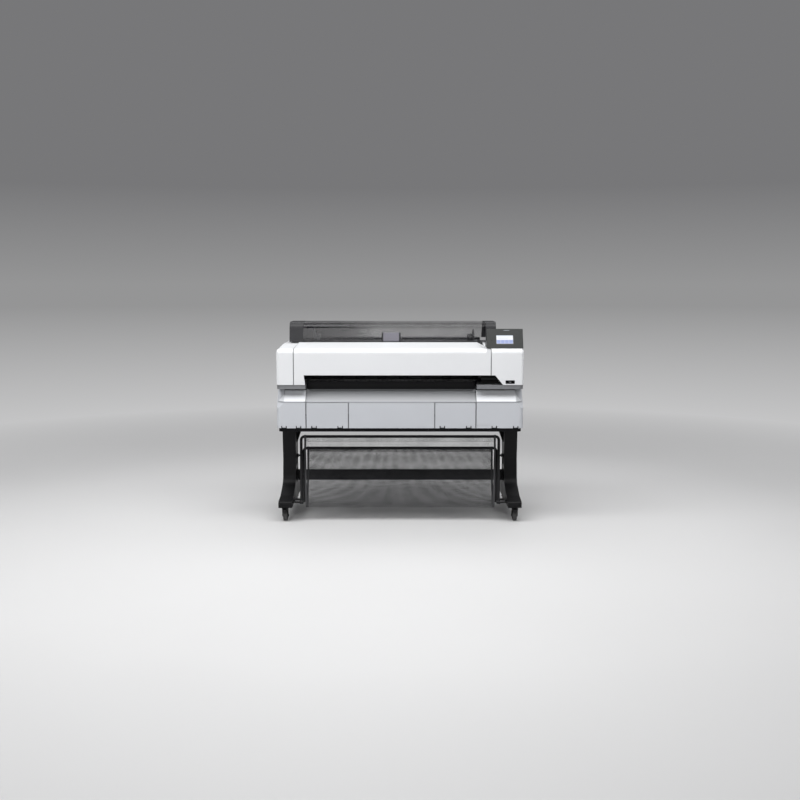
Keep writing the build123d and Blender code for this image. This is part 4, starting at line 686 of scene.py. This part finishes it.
row_distance = across_distance(from_step(x, screw_row_pitch), from_row(z, screw_rows_z))
column_height = paint.math("SUBTRACT", z, screw_column_middle)
column_offset = from_row(x, (-screw_column_x, screw_column_x))
column_distance = across_distance(from_step(column_height, screw_column_pitch), column_offset)
from_middle = paint.math("ABSOLUTE", column_height)
past_column = paint.math("GREATER_THAN", from_middle, screw_column_half)
column_distance = paint.math("ADD", column_distance, past_column)
to_screw = paint.math("MINIMUM", row_distance, column_distance)
on_back = paint.math("GREATER_THAN", y, back_y - 0.0005)
in_head = paint.math("LESS_THAN", to_screw, screw_radius)
on_screw = paint.both(on_back, in_head)
drift = paint.spread(paint.noise(4.0), 0.0, 0.5)
skin = paint.blend(drift, panel_grey, panel_grey_low)
# The socket in each screw head is painted shade: a darker disc, not a hole.
in_socket = paint.math("LESS_THAN", to_screw, screw_socket)
steel = paint.blend(in_socket, screw_black, painted_socket_shade)
paint.set("Base Color", paint.blend(on_screw, skin, steel))
gloss = paint.spread(paint.noise(45.0, 4.0), 0.40, 0.44)
paint.set("Roughness", gloss)
screw_rise = paint.spread(to_screw, 0.0, 1.0, screw_socket, screw_radius)
screw_relief = paint.bump(screw_rise, 0.6, 0.0006)
paint.bump(paint.noise(panel_grain, 2.0), 0.3, panel_grain_height, {"Normal": screw_relief})
dress(back_grey, "rear_cover")

# Connectors at the back.
# Three data sockets in plated shells with a dark tongue, and the blades of the appliance inlet.
port_places = ((0.470, 0.0136), (0.444, 0.0176), (0.418, 0.0096))
port_z = 0.605
port_height = 0.0126
port_depth = 0.014
port_gap = 0.0004
shell_wall = 0.0006
tongue_half = 0.0011
inlet_x = 0.560
inlet_z = 0.600
blade_places = ((-0.007, -0.0025), (0.0, 0.0015), (0.007, -0.0025))
blade_half_width = 0.00115
blade_half_height = 0.00215
blade_root = 0.0182
blade_tip = 0.0028


def open_shell(shape, middle, width, height, front_y, back_y, wall, open_way):
    """Rectangular socket shell, open towards the front (-1) or the back (1)."""
    mouth_y = front_y if open_way < 0 else back_y
    closed_y = back_y if open_way < 0 else front_y
    inner_y = closed_y + open_way * wall

    def loop(half_width, half_height, y):
        return [
            shape.verts.new((middle[0] + sx * half_width, y, middle[1] + sz * half_height))
            for sx, sz in ((-1, -1), (1, -1), (1, 1), (-1, 1))
        ]

    outer_closed = loop(width / 2, height / 2, closed_y)
    outer_mouth = loop(width / 2, height / 2, mouth_y)
    inner_mouth = loop(width / 2 - wall, height / 2 - wall, mouth_y)
    inner_closed = loop(width / 2 - wall, height / 2 - wall, inner_y)
    loops = (outer_closed, outer_mouth, inner_mouth, inner_closed)
    for low, high in zip(loops, loops[1:]):
        for step in range(4):
            after = (step + 1) % 4
            shape.faces.new((low[step], low[after], high[after], high[step]))
    shape.faces.new(outer_closed[::-1])
    shape.faces.new(inner_closed)
    bmesh.ops.recalc_face_normals(shape, faces=shape.faces)


def rounded_bar(shape, low, high, bevel):
    """Small bar with bevelled edges between two corners."""
    made = bmesh.ops.create_cube(shape, size=1.0)["verts"]
    for vertex in made:
        vertex.co = [a + (b - a) * (c + 0.5) for a, b, c in zip(low, high, vertex.co)]
    edges = {edge for vertex in made for edge in vertex.link_edges}
    bmesh.ops.bevel(shape, geom=list(edges), offset=bevel, segments=2, profile=0.5, affect="EDGES")


bright_plate = worked_metal("bright_plate", (0.7, 0.71, 0.72, 1.0), 0.22, scale=200.0)
shape = bmesh.new()
for x, width in port_places:
    port_ends = (back_y - port_depth, back_y - port_gap)
    open_shell(shape, (x, port_z), width, port_height, *port_ends, shell_wall, 1)
piece_from("port_shells", shape, bright_plate, "chassis")
shape = bmesh.new()
for x, width in port_places:
    rounded_bar(
        shape,
        (x - width * 0.34, back_y - port_depth + shell_wall / 2, port_z - tongue_half),
        (x + width * 0.34, back_y - 0.003, port_z + tongue_half),
        0.0003,
    )
piece_from("port_tongues", shape, dark_nylon, "chassis")
dress(dark_nylon, "mains_inlet")
shape = bmesh.new()
for across, up in blade_places:
    blade_x = inlet_x + across
    blade_z = inlet_z + up
    rounded_bar(
        shape,
        (blade_x - blade_half_width, back_y - blade_root, blade_z - blade_half_height),
        (blade_x + blade_half_width, back_y - blade_tip, blade_z + blade_half_height),
        0.0004,
    )
piece_from("inlet_blades", shape, bright_plate, "chassis")

# Paper drive.
# A black moulded platen with small suction holes between its ribs, a grit-coated feed roller
# in the side plates and eight rubber pinch rollers pressed on it from above.
platen_top = 0.800
rib_top_band = 0.0025
hole_radius = 0.0018
hole_rim_height = 0.0006
hole_rows_y = (-0.248, -0.228, -0.208, -0.188, -0.168)
hole_pitch_x = 0.025
hole_first_x = -0.499
hole_count_x = 37
deck_depth_below_ribs = 0.002
platen_black = moulded("platen_black", (0.004, 0.004, 0.0045, 1.0), 0.65, shine=0.05)
platen_dark = moulded("platen_dark", (0.006, 0.006, 0.007, 1.0), 0.5, shine=0.15)


def painted_light_rib_tops(paint, plain):
    """Painted light: the platen's rib tops painted paler, in patches."""
    z = paint.axes()[2]
    patchiness = paint.spread(paint.noise(12.0), 0.6, 1.0)
    near_top = paint.math("GREATER_THAN", z, platen_top - rib_top_band)
    on_top = paint.math("MULTIPLY", near_top, patchiness)
    return paint.blend(on_top, plain, (0.32, 0.32, 0.325, 1.0))


dress(overlaid(platen_dark, painted_light_rib_tops), "platen")
grit = moulded("grit_coating", (0.33, 0.33, 0.335, 1.0), 0.8, 2600.0, 0.0003)
dress(grit, "feed_roller")
roller_rubber = moulded("roller_rubber", (0.03, 0.03, 0.033, 1.0), 0.7)
dress(roller_rubber, "pinch_rollers")

hole_tree, given, place = named_tree(
    "suction_holes",
    {"Places": "Geometry", "Hole radius": "Float", "Rim height": "Float", "Finish": "Material"},
)
rim_radius = place("ShaderNodeMath", {0: given.outputs["Hole radius"], 1: 1.5}, operation="MULTIPLY")
collar = place(
    "GeometryNodeMeshCone",
    {
        "Vertices": 12,
        "Radius Top": given.outputs["Hole radius"],
        "Radius Bottom": rim_radius.outputs[0],
        "Depth": given.outputs["Rim height"],
    },
    fill_type="NONE",
)
eyelets = place(
    "GeometryNodeInstanceOnPoints",
    {"Points": given.outputs["Places"], "Instance": collar.outputs["Mesh"]},
)
end_tree(given, place, eyelets.outputs["Instances"])
holes = grown(
    "suction_holes",
    hole_tree,
    {"Hole radius": hole_radius, "Rim height": hole_rim_height, "Finish": platen_black},
    points=[
        (hole_first_x + step * hole_pitch_x, y, platen_top - deck_depth_below_ribs)
        for step in range(hole_count_x)
        for y in hole_rows_y
    ],
)
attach(holes, "chassis")

# Carriage drive.
# A toothed rubber belt runs round a free pulley at the left and the motor's pulley at the right.
belt_y = -0.068
belt_z = 0.952
idler_x = -0.575
drive_x = 0.566
tooth_line_radius = 0.0106
tooth_pitch = 0.00314
tooth_length = 0.0016
tooth_width = 0.0064
tooth_height = 0.0008
belt_rubber = moulded("belt_rubber", (0.018, 0.018, 0.018, 1.0), 0.65, 900.0)
dress(belt_rubber, "carriage_belt")
dress(dark_nylon, "idler_pulley")
ground_steel = worked_metal("ground_steel", (0.6, 0.61, 0.62, 1.0), 0.25, (1.0, 30.0, 30.0))
dress(ground_steel, "drive_pulley", "carriage_motor")

bead_tree, given, place = named_tree(
    "beads_on_a_line",
    {
        "Line": "Geometry",
        "Pitch": "Float",
        "Bead length": "Float",
        "Bead width": "Float",
        "Bead height": "Float",
        "Finish": "Material",
    },
)
line = place("GeometryNodeMeshToCurve", {"Mesh": given.outputs["Line"]})
spaced = place(
    "GeometryNodeResampleCurve",
    {"Curve": line.outputs["Curve"], "Length": given.outputs["Pitch"]},
    mode="LENGTH",
)
along = place("GeometryNodeInputTangent")
lined_up = place("FunctionNodeAlignRotationToVector", {"Vector": along.outputs["Tangent"]}, axis="X")
bead_size = place(
    "ShaderNodeCombineXYZ",
    {
        "X": given.outputs["Bead length"],
        "Y": given.outputs["Bead width"],
        "Z": given.outputs["Bead height"],
    },
)
bead = place("GeometryNodeMeshUVSphere", {"Segments": 8, "Rings": 4, "Radius": 0.5})
beads = place(
    "GeometryNodeInstanceOnPoints",
    {
        "Points": spaced.outputs["Curve"],
        "Instance": bead.outputs["Mesh"],
        "Rotation": lined_up.outputs["Rotation"],
        "Scale": bead_size.outputs[0],
    },
)
end_tree(given, place, beads.outputs["Instances"])
loop_points = []
for pulley_x, way in ((drive_x, 1), (idler_x, -1)):
    for step in range(13):
        across = way * tooth_line_radius * math.sin(math.pi * step / 12)
        rise = way * tooth_line_radius * math.cos(math.pi * step / 12)
        loop_points.append((pulley_x + across, belt_y, belt_z + rise))
teeth = grown(
    "belt_teeth",
    bead_tree,
    {
        "Pitch": tooth_pitch,
        "Bead length": tooth_length,
        "Bead width": tooth_width,
        "Bead height": tooth_height,
        "Finish": belt_rubber,
    },
    points=loop_points,
    edges=[(step, (step + 1) % len(loop_points)) for step in range(len(loop_points))],
)
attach(teeth, "chassis")

# Carriage and parking bay.
# A black moulded carriage holds the print head in its blackened steel frame; at rest it stands
# over the black capping station, whose cap and wipers are under it.
dress(dark_nylon, "carriage", "capping_station")
head_plate = worked_metal("head_plate", (0.05, 0.05, 0.053, 1.0), 0.4, scale=200.0)
dress(head_plate, "print_head")

# Ink supply.
# Four cartridges in a black bay behind the right cover, each with a strip in its ink's colour,
# and a black waste ink box behind the left cover.
dress(dark_nylon, "cartridge_bay", "maintenance_box")
strip_top = 0.700
strip_bottom = 0.606
cartridge_step = 0.047
first_cartridge_x = 0.471
cartridge_front_y = -0.298
strip_half = 0.0135
shell_black = moulded("cartridge_shell", (0.02, 0.02, 0.022, 1.0), 0.35)
ink_colours = ((0.02, 0.02, 0.02), (0.02, 0.3, 0.5), (0.45, 0.03, 0.2), (0.6, 0.5, 0.03))
for number, ink in enumerate(ink_colours, 1):
    name = "cartridge_%d" % number
    dress(shell_black, name)
    strip_finish = moulded("ink_strip_%d" % number, ink + (1.0,), 0.3)
    x = first_cartridge_x + (number - 1) * cartridge_step
    shape = bmesh.new()
    rounded_bar(
        shape,
        (x - strip_half, cartridge_front_y - 0.0004, strip_bottom + 0.004),
        (x + strip_half, cartridge_front_y + 0.0012, strip_top - 0.044),
        0.0003,
    )
    piece_from("ink_strip_%d" % number, shape, strip_finish, name)

# Roll bay.
# A grey moulded trough with two black saddles; a blackened steel spindle lies in them with a dark
# fixed flange at its right end and a grey loose one at its left.
spindle_y = 0.165
spindle_z = 1.020
spindle_radius = 0.0104
spindle_pale = (0.08, 0.08, 0.085, 1)
spindle_dark = (0.04, 0.04, 0.043, 1)
flange_black = (0.03, 0.03, 0.033, 1)
tray_grey = moulded("roll_tray_grey", (0.10, 0.10, 0.106, 1.0), 0.45)
dress(tray_grey, "roll_tray")
dress(dark_nylon, "spindle_holders")
dress(cool_grey, "spindle_flange")
spindle_finish, paint = new_material("spindle_with_fixed_flange")
own = paint.coordinates(shift=(0.0, -spindle_y, -spindle_z))
flat_own = paint.add("ShaderNodeVectorMath", {0: own, 1: (0.0, 1.0, 1.0)}, operation="MULTIPLY")
away = paint.length(flat_own.outputs["Vector"])
on_flange = paint.math("GREATER_THAN", away, spindle_radius)
marks = paint.noise(60.0, 4.0, (1.0, 30.0, 30.0))
mark_share = paint.spread(marks, 0.0, 0.6)
steel_tone = paint.blend(mark_share, spindle_pale, spindle_dark)
spindle_tone = paint.blend(on_flange, steel_tone, flange_black)
paint.set("Base Color", spindle_tone)
paint.set("Metallic", paint.spread(on_flange, 1.0, 0.0, 0.0, 1.0))
paint.set("Roughness", paint.spread(marks, 0.2, 0.42))
dress(spindle_finish, "roll_spindle")

# White covers.
# Glossy cool-white mouldings: two end covers and the wide lift-up hood. The right one has a
# recess for a memory stick, with a black liner and a plated socket in it.
slot_x = 0.616
slot_z = 0.801
slot_width = 0.0518
slot_height = 0.0198
front_y = -0.342
slot_depth = 0.0192
slot_wall = 0.0008
socket_width = 0.0131
socket_height = 0.0057
socket_start = 0.006
socket_wall = 0.0005
cool_white = moulded(
    "cool_white_cover",
    (0.69, 0.70, 0.715, 1.0),
    0.34,
    grain=1600.0,
    grain_height=0.00003,
    variation=0.03,
    shine=0.4,
    wear=0.012,
)
hood_left = -0.594
hood_right = 0.508
seam_width = 0.0025
seam_shade = 0.0013
# Painted shade along the seams between the hood and the end covers.
painted_seam_shade_tone = (0.2, 0.205, 0.21, 1.0)


def painted_seam_shade(paint, plain):
    """Painted shade: thin dark bands where the hood meets the end covers."""
    x = paint.axes()[0]
    at_left = paint.inside(x, hood_left - seam_width - seam_shade, hood_left + seam_shade)
    at_right = paint.inside(x, hood_right - seam_shade, hood_right + seam_width + seam_shade)
    on_seam = paint.math("ADD", at_left, at_right)
    return paint.blend(on_seam, plain, painted_seam_shade_tone)


dress(overlaid(cool_white, painted_seam_shade), "side_cover_left", "side_cover_right", "front_cover")
shape = bmesh.new()
liner_ends = (front_y + slot_wall, front_y + slot_depth + slot_wall)
open_shell(shape, (slot_x, slot_z), slot_width, slot_height, *liner_ends, slot_wall, -1)
piece_from("memory_slot_liner", shape, pan_plastic, "chassis")
shape = bmesh.new()
socket_ends = (front_y + socket_start, front_y + slot_depth)
open_shell(shape, (slot_x, slot_z), socket_width, socket_height, *socket_ends, socket_wall, -1)
piece_from("memory_socket_shell", shape, bright_plate, "chassis")
shape = bmesh.new()
rounded_bar(
    shape,
    (slot_x - 0.0055, front_y + 0.0075, slot_z + 0.0003),
    (slot_x + 0.0055, front_y + 0.019, slot_z + 0.0021),
    0.0003,
)
piece_from("memory_socket_tongue", shape, dark_nylon, "chassis")

# Roll cover.
# A lid of smoked see-through plastic, painted black inside at its cheeks and along its foot,
# with a grey pull at its front edge; its front and top are a separate smoked window.
window_left = -0.570
window_right = 0.504
clear_bottom = 1.018
bend_height = 1.09
bend_tint = 0.10
painted_left_shade = 0.5
painted_left_shade_start = 0.02
painted_left_shade_end = 0.42
haze_low = 0.11
haze_high = 0.14
grip_left = -0.107
grip_right = 0.003
grip_top = 1.062
grip_back = 0.010
grip_side = 0.009
smoke_colour = (0.012, 0.011, 0.014, 1.0)
paint_black = (0.022, 0.022, 0.024, 1.0)
grip_grey = (0.17, 0.165, 0.19, 1.0)


def smoked_plastic(name):
    """Clear plastic tinted dark, darker at its bend, with painted shade towards the left and a faint
    haze.
    """
    material, paint = new_material(name)
    haze = paint.noise(9.0)
    paint.set("Roughness", paint.spread(haze, 0.08, 0.16))
    paint.set("Base Color", smoke_colour)
    x, y, z = paint.axes()
    bend = paint.spread(z, 0.0, bend_tint, bend_height - 0.016, bend_height + 0.01)
    # Painted shade: the window darkens towards its left end.
    tint_edges = (window_left + painted_left_shade_start, window_left + painted_left_shade_end)
    painted_leftward_shade = paint.spread(x, painted_left_shade, 0.0, *tint_edges)
    added_darkening = paint.math("ADD", bend, painted_leftward_shade)
    tint = paint.math("ADD", paint.spread(haze, haze_low, haze_high), added_darkening)
    paint.set("Alpha", tint)
    return material, paint, tint


smoked = smoked_plastic("smoked_window")[0]
dress(smoked, "roll_cover_window")
lid, paint, tint = smoked_plastic("smoked_lid_painted_inside")
x, y, z = paint.axes()
clear_x = paint.inside(x, window_left, window_right)
above_foot = paint.math("GREATER_THAN", z, clear_bottom)
clear_zone = paint.both(clear_x, above_foot)
grip_depth = paint.math("LESS_THAN", y, grip_back)
grip_height = paint.math("LESS_THAN", z, grip_top + 0.0005)
grip_front = paint.both(grip_depth, grip_height)
on_grip = paint.both(paint.inside(x, grip_left, grip_right), grip_front)
pull_x = paint.inside(x, grip_left + grip_side, grip_right - grip_side)
on_pull = paint.both(pull_x, grip_front)
outside_clear = paint.math("SUBTRACT", 1.0, clear_zone)
painted = paint.math("MAXIMUM", outside_clear, on_grip)
lid_tone = paint.blend(painted, smoke_colour, paint_black)
paint.set("Base Color", paint.blend(on_pull, lid_tone, grip_grey))
paint.set("Alpha", paint.math("MAXIMUM", painted, tint))
paint.set("Roughness", paint.spread(painted, 0.12, 0.42, 0.0, 1.0))
paint.set("Specular IOR Level", 0.3)
dress(lid, "roll_cover_frame")

# Control panel.
# A dark satin housing on the right cover, tilted back, with a colour display behind glass,
# one round push button and a small lamp on its upper edge.
panel_tilt = math.radians(25)
panel_foot = (-0.303, 0.988)
screen_x = 0.589
screen_rise = 0.052
picture_half = 0.0462
picture_foot = -0.0235
picture_top = 0.0262
tile_width = 0.0231
tile_foot = -0.0222
tile_top = -0.0025
field_foot = -0.0008
bar_foot = 0.0222
tile_gap_blue = (0.36, 0.42, 0.62, 1)
tile_blue = (0.17, 0.24, 0.55, 1)
field_pale = (0.74, 0.76, 0.80, 1)
bar_grey = (0.45, 0.52, 0.62, 1)
note_grey = (0.50, 0.58, 0.68, 1)
unlit_black = (0.0, 0.0, 0.0, 1)
panel_dark = moulded("panel_dark", (0.03, 0.032, 0.031, 1.0), 0.4, shine=0.2)
dress(panel_dark, "control_panel", "power_button")


def on_panel(x, rise, depth):
    """Point on the tilted face: across, up the face and into the housing."""
    return Vector(
        (
            x,
            panel_foot[0] + rise * math.sin(panel_tilt) + depth * math.cos(panel_tilt),
            panel_foot[1] + rise * math.cos(panel_tilt) - depth * math.sin(panel_tilt),
        )
    )


display, paint = new_material("display_glass")
to_face = Matrix.Rotation(panel_tilt, 3, "X")
centre = to_face @ on_panel(screen_x, screen_rise, 0.0)
own = paint.coordinates(shift=tuple(-c for c in centre), turn=(panel_tilt, 0.0, 0.0))
across, _, up = paint.axes(own)
lit_across = paint.inside(across, -picture_half, picture_half)
lit = paint.both(lit_across, paint.inside(up, picture_foot, picture_top))
from_left = paint.math("ADD", across, picture_half)
tile_count = paint.math("MULTIPLY", from_left, 1 / tile_width)
tile_place = paint.math("FRACT", tile_count)
tile_across = paint.inside(tile_place, 0.06, 0.94)
on_tile = paint.both(tile_across, paint.inside(up, tile_foot, tile_top))
picture = paint.blend(on_tile, tile_gap_blue, tile_blue)
upper_half = paint.math("GREATER_THAN", up, field_foot)
picture = paint.blend(upper_half, picture, field_pale)
status_bar = paint.inside(up, bar_foot, picture_top)
picture = paint.blend(status_bar, picture, bar_grey)
note_height = paint.inside(up, 0.0075, 0.0095)
note_line = paint.both(note_height, paint.inside(across, -0.036, 0.018))
picture = paint.blend(note_line, picture, note_grey)
picture = paint.blend(lit, unlit_black, picture)
paint.set("Base Color", (0.012, 0.012, 0.013, 1.0))
paint.set("Emission Strength", 0.95)
paint.set("Coat Weight", 0.5)
paint.set("Coat Roughness", 0.05)
paint.set("Emission Color", picture)
smears = paint.spread(paint.noise(30.0, 4.0), 0.06, 0.14)
paint.set("Roughness", smears)
dress(display, "lcd_screen")

lamp_glow, paint = new_material("lamp_lens")
paint.set("Base Color", (0.16, 0.17, 0.18, 1.0))
paint.set("Emission Color", (0.5, 0.75, 1.0, 1.0))
paint.set("Emission Strength", 0.04)
paint.set("Roughness", paint.spread(paint.noise(300.0), 0.2, 0.35))
lamp_place = on_panel(0.600, 0.1085, 0.0)
shape = bmesh.new()
rounded_bar(shape, (-0.016, -0.0006, -0.002), (0.016, 0.0015, 0.002), 0.0005)
shape.transform(Matrix.Translation(lamp_place) @ Matrix.Rotation(-panel_tilt, 4, "X"))
piece_from("status_lamp", shape, lamp_glow, "chassis")

# Catch basket frames.
# Steel tube bent to a U, welded eyes and stubs, under black powder coat; the front one swings.
tube_coat = powder_coat("tube_powder_coat", (0.012, 0.012, 0.013, 1.0), 0.32)
dress(tube_coat, "basket_front_frame", "basket_rear_frame")

# Catch basket cloth.
# One piece of knitted mesh with a sleeve sewn round each bar. It hangs from the front bar,
# folds under the frames' feet and rises to the rear bar; its sides are bound with woven tape.
front_bar = Vector((-0.150, 0.466))
rear_bar = Vector((0.040, 0.368))
pivot = Vector((-0.293, 0.108))
sleeve_radius = 0.0092
front_drop = Vector((-0.046, -0.140))
rear_drop = Vector((-0.110, -0.132))
front_run = front_drop.normalized()
rear_run = rear_drop.normalized()
seam_reach = 0.030
seam_gap = 0.0012
wide_half = 0.556
narrow_half = 0.538
row_pitch = 0.0045
column_count = 61


def turned_from(centre, start, end, steps=14):
    """Points on the sleeve's round between two angles, in the side view."""
    angles = [start + (end - start) * step / steps for step in range(steps + 1)]
    return [centre + sleeve_radius * Vector((math.cos(a), math.sin(a))) for a in angles]


def sleeve_line(bar, run, side):
    """Side view of a sewn sleeve: from its seam up round the bar to where the cloth leaves it."""
    away = side * Vector((-run.y, run.x))
    leave = math.atan2(away.y, away.x)
    seam = bar + away * (sleeve_radius - seam_gap) + run * seam_reach
    to_seam = seam - bar
    spread_angle = math.acos(sleeve_radius / to_seam.length)
    seam_angle = math.atan2(to_seam.y, to_seam.x)
    touch = seam_angle - side * spread_angle
    while side * (leave - touch) > 0:
        touch += side * math.tau
    while side * (touch - leave) > math.tau:
        touch -= side * math.tau
    return [seam] + turned_from(bar, touch, leave)


def eased(points, reach):
    """Line with each inner corner rounded by a quadratic curve that starts a reach before it."""
    line = [points[0]]
    for before, corner, after, ease in zip(points, points[1:], points[2:], reach):
        start = corner + (before - corner).normalized() * ease
        end = corner + (after - corner).normalized() * ease
        for step in range(9):
            share = step / 8
            line.append(start.lerp(corner, share).lerp(corner.lerp(end, share), share))
    line.append(points[-1])
    return line


front_away = Vector((-front_run.y, front_run.x)) * sleeve_radius
front_sleeve = sleeve_line(front_bar, front_run, 1)
rear_sleeve = sleeve_line(rear_bar, rear_run, -1)
hung_line = eased(
    [
        front_sleeve[-1],
        front_bar + front_away + front_drop,
        pivot + Vector((0.018, 0.060)),
        pivot + Vector((0.001, 0.000)),
        Vector((-0.2955, 0.0765)),
        Vector((-0.262, 0.0775)),
        rear_bar + rear_drop,
        rear_sleeve[-1],
    ],
    (0.055, 0.030, 0.010, 0.010, 0.012, 0.090),
)
rough_line = front_sleeve[:-1] + hung_line + rear_sleeve[-2::-1]


def resampled(line, pitch):
    """Points a pitch apart along a line, keeping its ends; gives the points and their distances."""
    lengths = [0.0]
    for before, after in zip(line, line[1:]):
        lengths.append(lengths[-1] + (after - before).length)
    count = max(2, round(lengths[-1] / pitch))
    points = []
    distances = []
    at = 0
    for step in range(count + 1):
        distance = lengths[-1] * step / count
        while at < len(line) - 2 and lengths[at + 1] < distance:
            at += 1
        share = (distance - lengths[at]) / max(lengths[at + 1] - lengths[at], 1e-9)
        points.append(line[at].lerp(line[at + 1], min(max(share, 0.0), 1.0)))
        distances.append(distance)
    return points, distances


side_line, side_distance = resampled(rough_line, row_pitch)
cloth_length = side_distance[-1]


def half_width(height):
    """The cloth narrows towards the feet of the leaning arms."""
    share = min(max((height - 0.08) / 0.30, 0.0), 1.0)
    return narrow_half + (wide_half - narrow_half) * share


def ripple(x, distance):
    """Slack of the cloth between its held edges, off the side view's line."""
    held = math.sin(math.pi * min(max((distance - 0.10) / (cloth_length - 0.20), 0.0), 1.0))
    waves = math.sin(x * 17.0 + distance * 6.0) + 0.5 * math.sin(x * 41.0 - distance * 9.0 + 1.3)
    return 0.0014 * held * waves


def off_line(row):
    """Direction out of the cloth at a row, in the side view."""
    ahead = side_line[min(row + 1, len(side_line) - 1)] - side_line[max(row - 1, 0)]
    return Vector((-ahead.y, ahead.x)).normalized()


rise_distance = [0.0]
for before, after in zip(side_line, side_line[1:]):
    step_up = abs((after - before).y)
    rise_distance.append(rise_distance[-1] + max(step_up, 0.45 * (after - before).length))

points = []
uv_of = []
for row, (at, distance) in enumerate(zip(side_line, side_distance)):
    off = off_line(row)
    for column in range(column_count):
        share = 2 * column / (column_count - 1) - 1
        x = share * half_width(at.y)
        place_off = at + off * ripple(x, distance)
        points.append((x, place_off.x, place_off.y))
        uv_of.append((x, rise_distance[row]))
faces = []
for row in range(len(side_line) - 1):
    for column in range(column_count - 1):
        low = row * column_count + column
        faces.append((low, low + 1, low + 1 + column_count, low + column_count))
cloth = new_mesh_object("basket_cloth", points, faces)
cloth_uv = cloth.data.uv_layers.new(name="cloth_uv")
for loop in cloth.data.loops:
    cloth_uv.data[loop.index].uv = uv_of[loop.vertex_index]
cloth.data.polygons.foreach_set("use_smooth", [True] * len(cloth.data.polygons))

mesh_pitch = 0.0031
hole_edge_front = 0.06
rear_hole_edge_shade = 0.44
yarn_dark = (0.022, 0.022, 0.024, 1.0)
yarn_pale = (0.045, 0.045, 0.048, 1.0)
knit, paint = new_material("knitted_mesh")
cut_x, cut_y, _ = paint.axes(paint.add("ShaderNodeUVMap", uv_map="cloth_uv").outputs["UV"])
phases = [paint.math("MULTIPLY", along, math.tau / mesh_pitch) for along in (cut_x, cut_y)]
waves = [paint.math("COSINE", phase) for phase in phases]
thread = paint.math("ABSOLUTE", paint.math("MULTIPLY", waves[0], waves[1]))
unevenness = paint.spread(paint.noise(16.0, 2.0), -0.05, 0.05)
turn_over = rise_distance[min(range(len(side_line)), key=lambda row: side_line[row].y)]
# Painted shade: the rear half is drawn denser than the front so that it reads darker.
in_rear_half = paint.spread(cut_y, 0.0, 1.0, turn_over, turn_over + 0.02)
even_edge = paint.spread(in_rear_half, hole_edge_front, rear_hole_edge_shade, 0.0, 1.0)
hole_edge = paint.math("ADD", even_edge, unevenness)
open_from = paint.math("ADD", hole_edge, 0.05)
paint.set("Alpha", paint.spread(thread, 1.0, 0.0, hole_edge, open_from))
fuzz = paint.spread(paint.noise(220.0, 4.0), 0.0, 1.0)
paint.set("Base Color", paint.blend(fuzz, yarn_dark, yarn_pale))
paint.set("Roughness", paint.spread(paint.noise(400.0), 0.7, 0.9))
paint.set("Specular IOR Level", 0.2)
paint.set("Sheen Weight", 0.05)
paint.bump(thread, 0.5, 0.0004, invert=True)
cloth.data.materials.append(knit)

tape_half = 0.0055
tape_wall = 0.0007
tape_overhang = 0.0006
tape_dark = (0.018, 0.018, 0.02, 1)
tape_points = []
tape_faces = []
for side in (-1, 1):
    for row, at in enumerate(side_line):
        off = off_line(row)
        edge_x = half_width(at.y)
        base = len(tape_points)
        slack = off * ripple(side * edge_x, side_distance[row])
        outer = -tape_overhang
        inner = 2 * tape_half
        for inset, lift in ((outer, 1), (outer, -1), (inner, -1), (inner, 1)):
            spot = at + slack + off * lift * tape_wall
            tape_points.append((side * (edge_x - inset), spot.x, spot.y))
        if row:
            for step in range(4):
                after = (step + 1) % 4
                tape_faces.append((base - 4 + step, base - 4 + after, base + after, base + step))
        if row in (0, len(side_line) - 1):
            tape_faces.append((base, base + 1, base + 2, base + 3))
tape = new_mesh_object("basket_cloth_tape", tape_points, tape_faces)
tidy = bmesh.new()
tidy.from_mesh(tape.data)
bmesh.ops.recalc_face_normals(tidy, faces=tidy.faces)
tidy.to_mesh(tape.data)
tidy.free()
woven, paint = new_material("woven_tape")
rib_wave = paint.add("ShaderNodeTexWave", {"Scale": 260.0, "Vector": paint.coordinates()})
tape_tone = paint.blend(rib_wave.outputs["Fac"], tape_dark, yarn_pale)
paint.set("Base Color", tape_tone)
paint.set("Roughness", paint.spread(paint.noise(300.0), 0.75, 0.92))
tape.data.materials.append(woven)

stitch_pitch = 0.005
stitch_length = 0.0032
stitch_width = 0.0019
stitch_from_edge = 0.002
stitch_from_seam = 0.003
stitch_lines = []
stitch_edges = []


def add_line(line):
    """Keep one run of stitching."""
    start = len(stitch_lines)
    stitch_lines.extend(line)
    stitch_edges.extend((start + step, start + step + 1) for step in range(len(line) - 1))


for side in (-1, 1):
    tape_inset = 2 * tape_half - stitch_from_edge
    add_line([(side * (half_width(at.y) - tape_inset), at.x, at.y) for at in side_line])
for bar, run, way in ((front_bar, front_run, 1), (rear_bar, rear_run, -1)):
    away = way * Vector((-run.y, run.x))
    seam = bar + away * sleeve_radius + run * (seam_reach - stitch_from_seam)
    edge = half_width(seam.y) - 2 * tape_half
    add_line([(x * edge / 20, seam.x, seam.y) for x in range(-20, 21)])
thread_pale = moulded("stitching_thread", (0.09, 0.09, 0.095, 1.0), 0.8, 2500.0, 0.0002)
stitches = grown(
    "basket_stitches",
    bead_tree,
    {
        "Pitch": stitch_pitch,
        "Bead length": stitch_length,
        "Bead width": stitch_width,
        "Bead height": stitch_width,
        "Finish": thread_pale,
    },
    points=stitch_lines,
    edges=stitch_edges,
)
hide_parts("basket_cloth_front", "basket_cloth_rear")
for piece in (cloth, tape, stitches):
    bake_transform(piece)
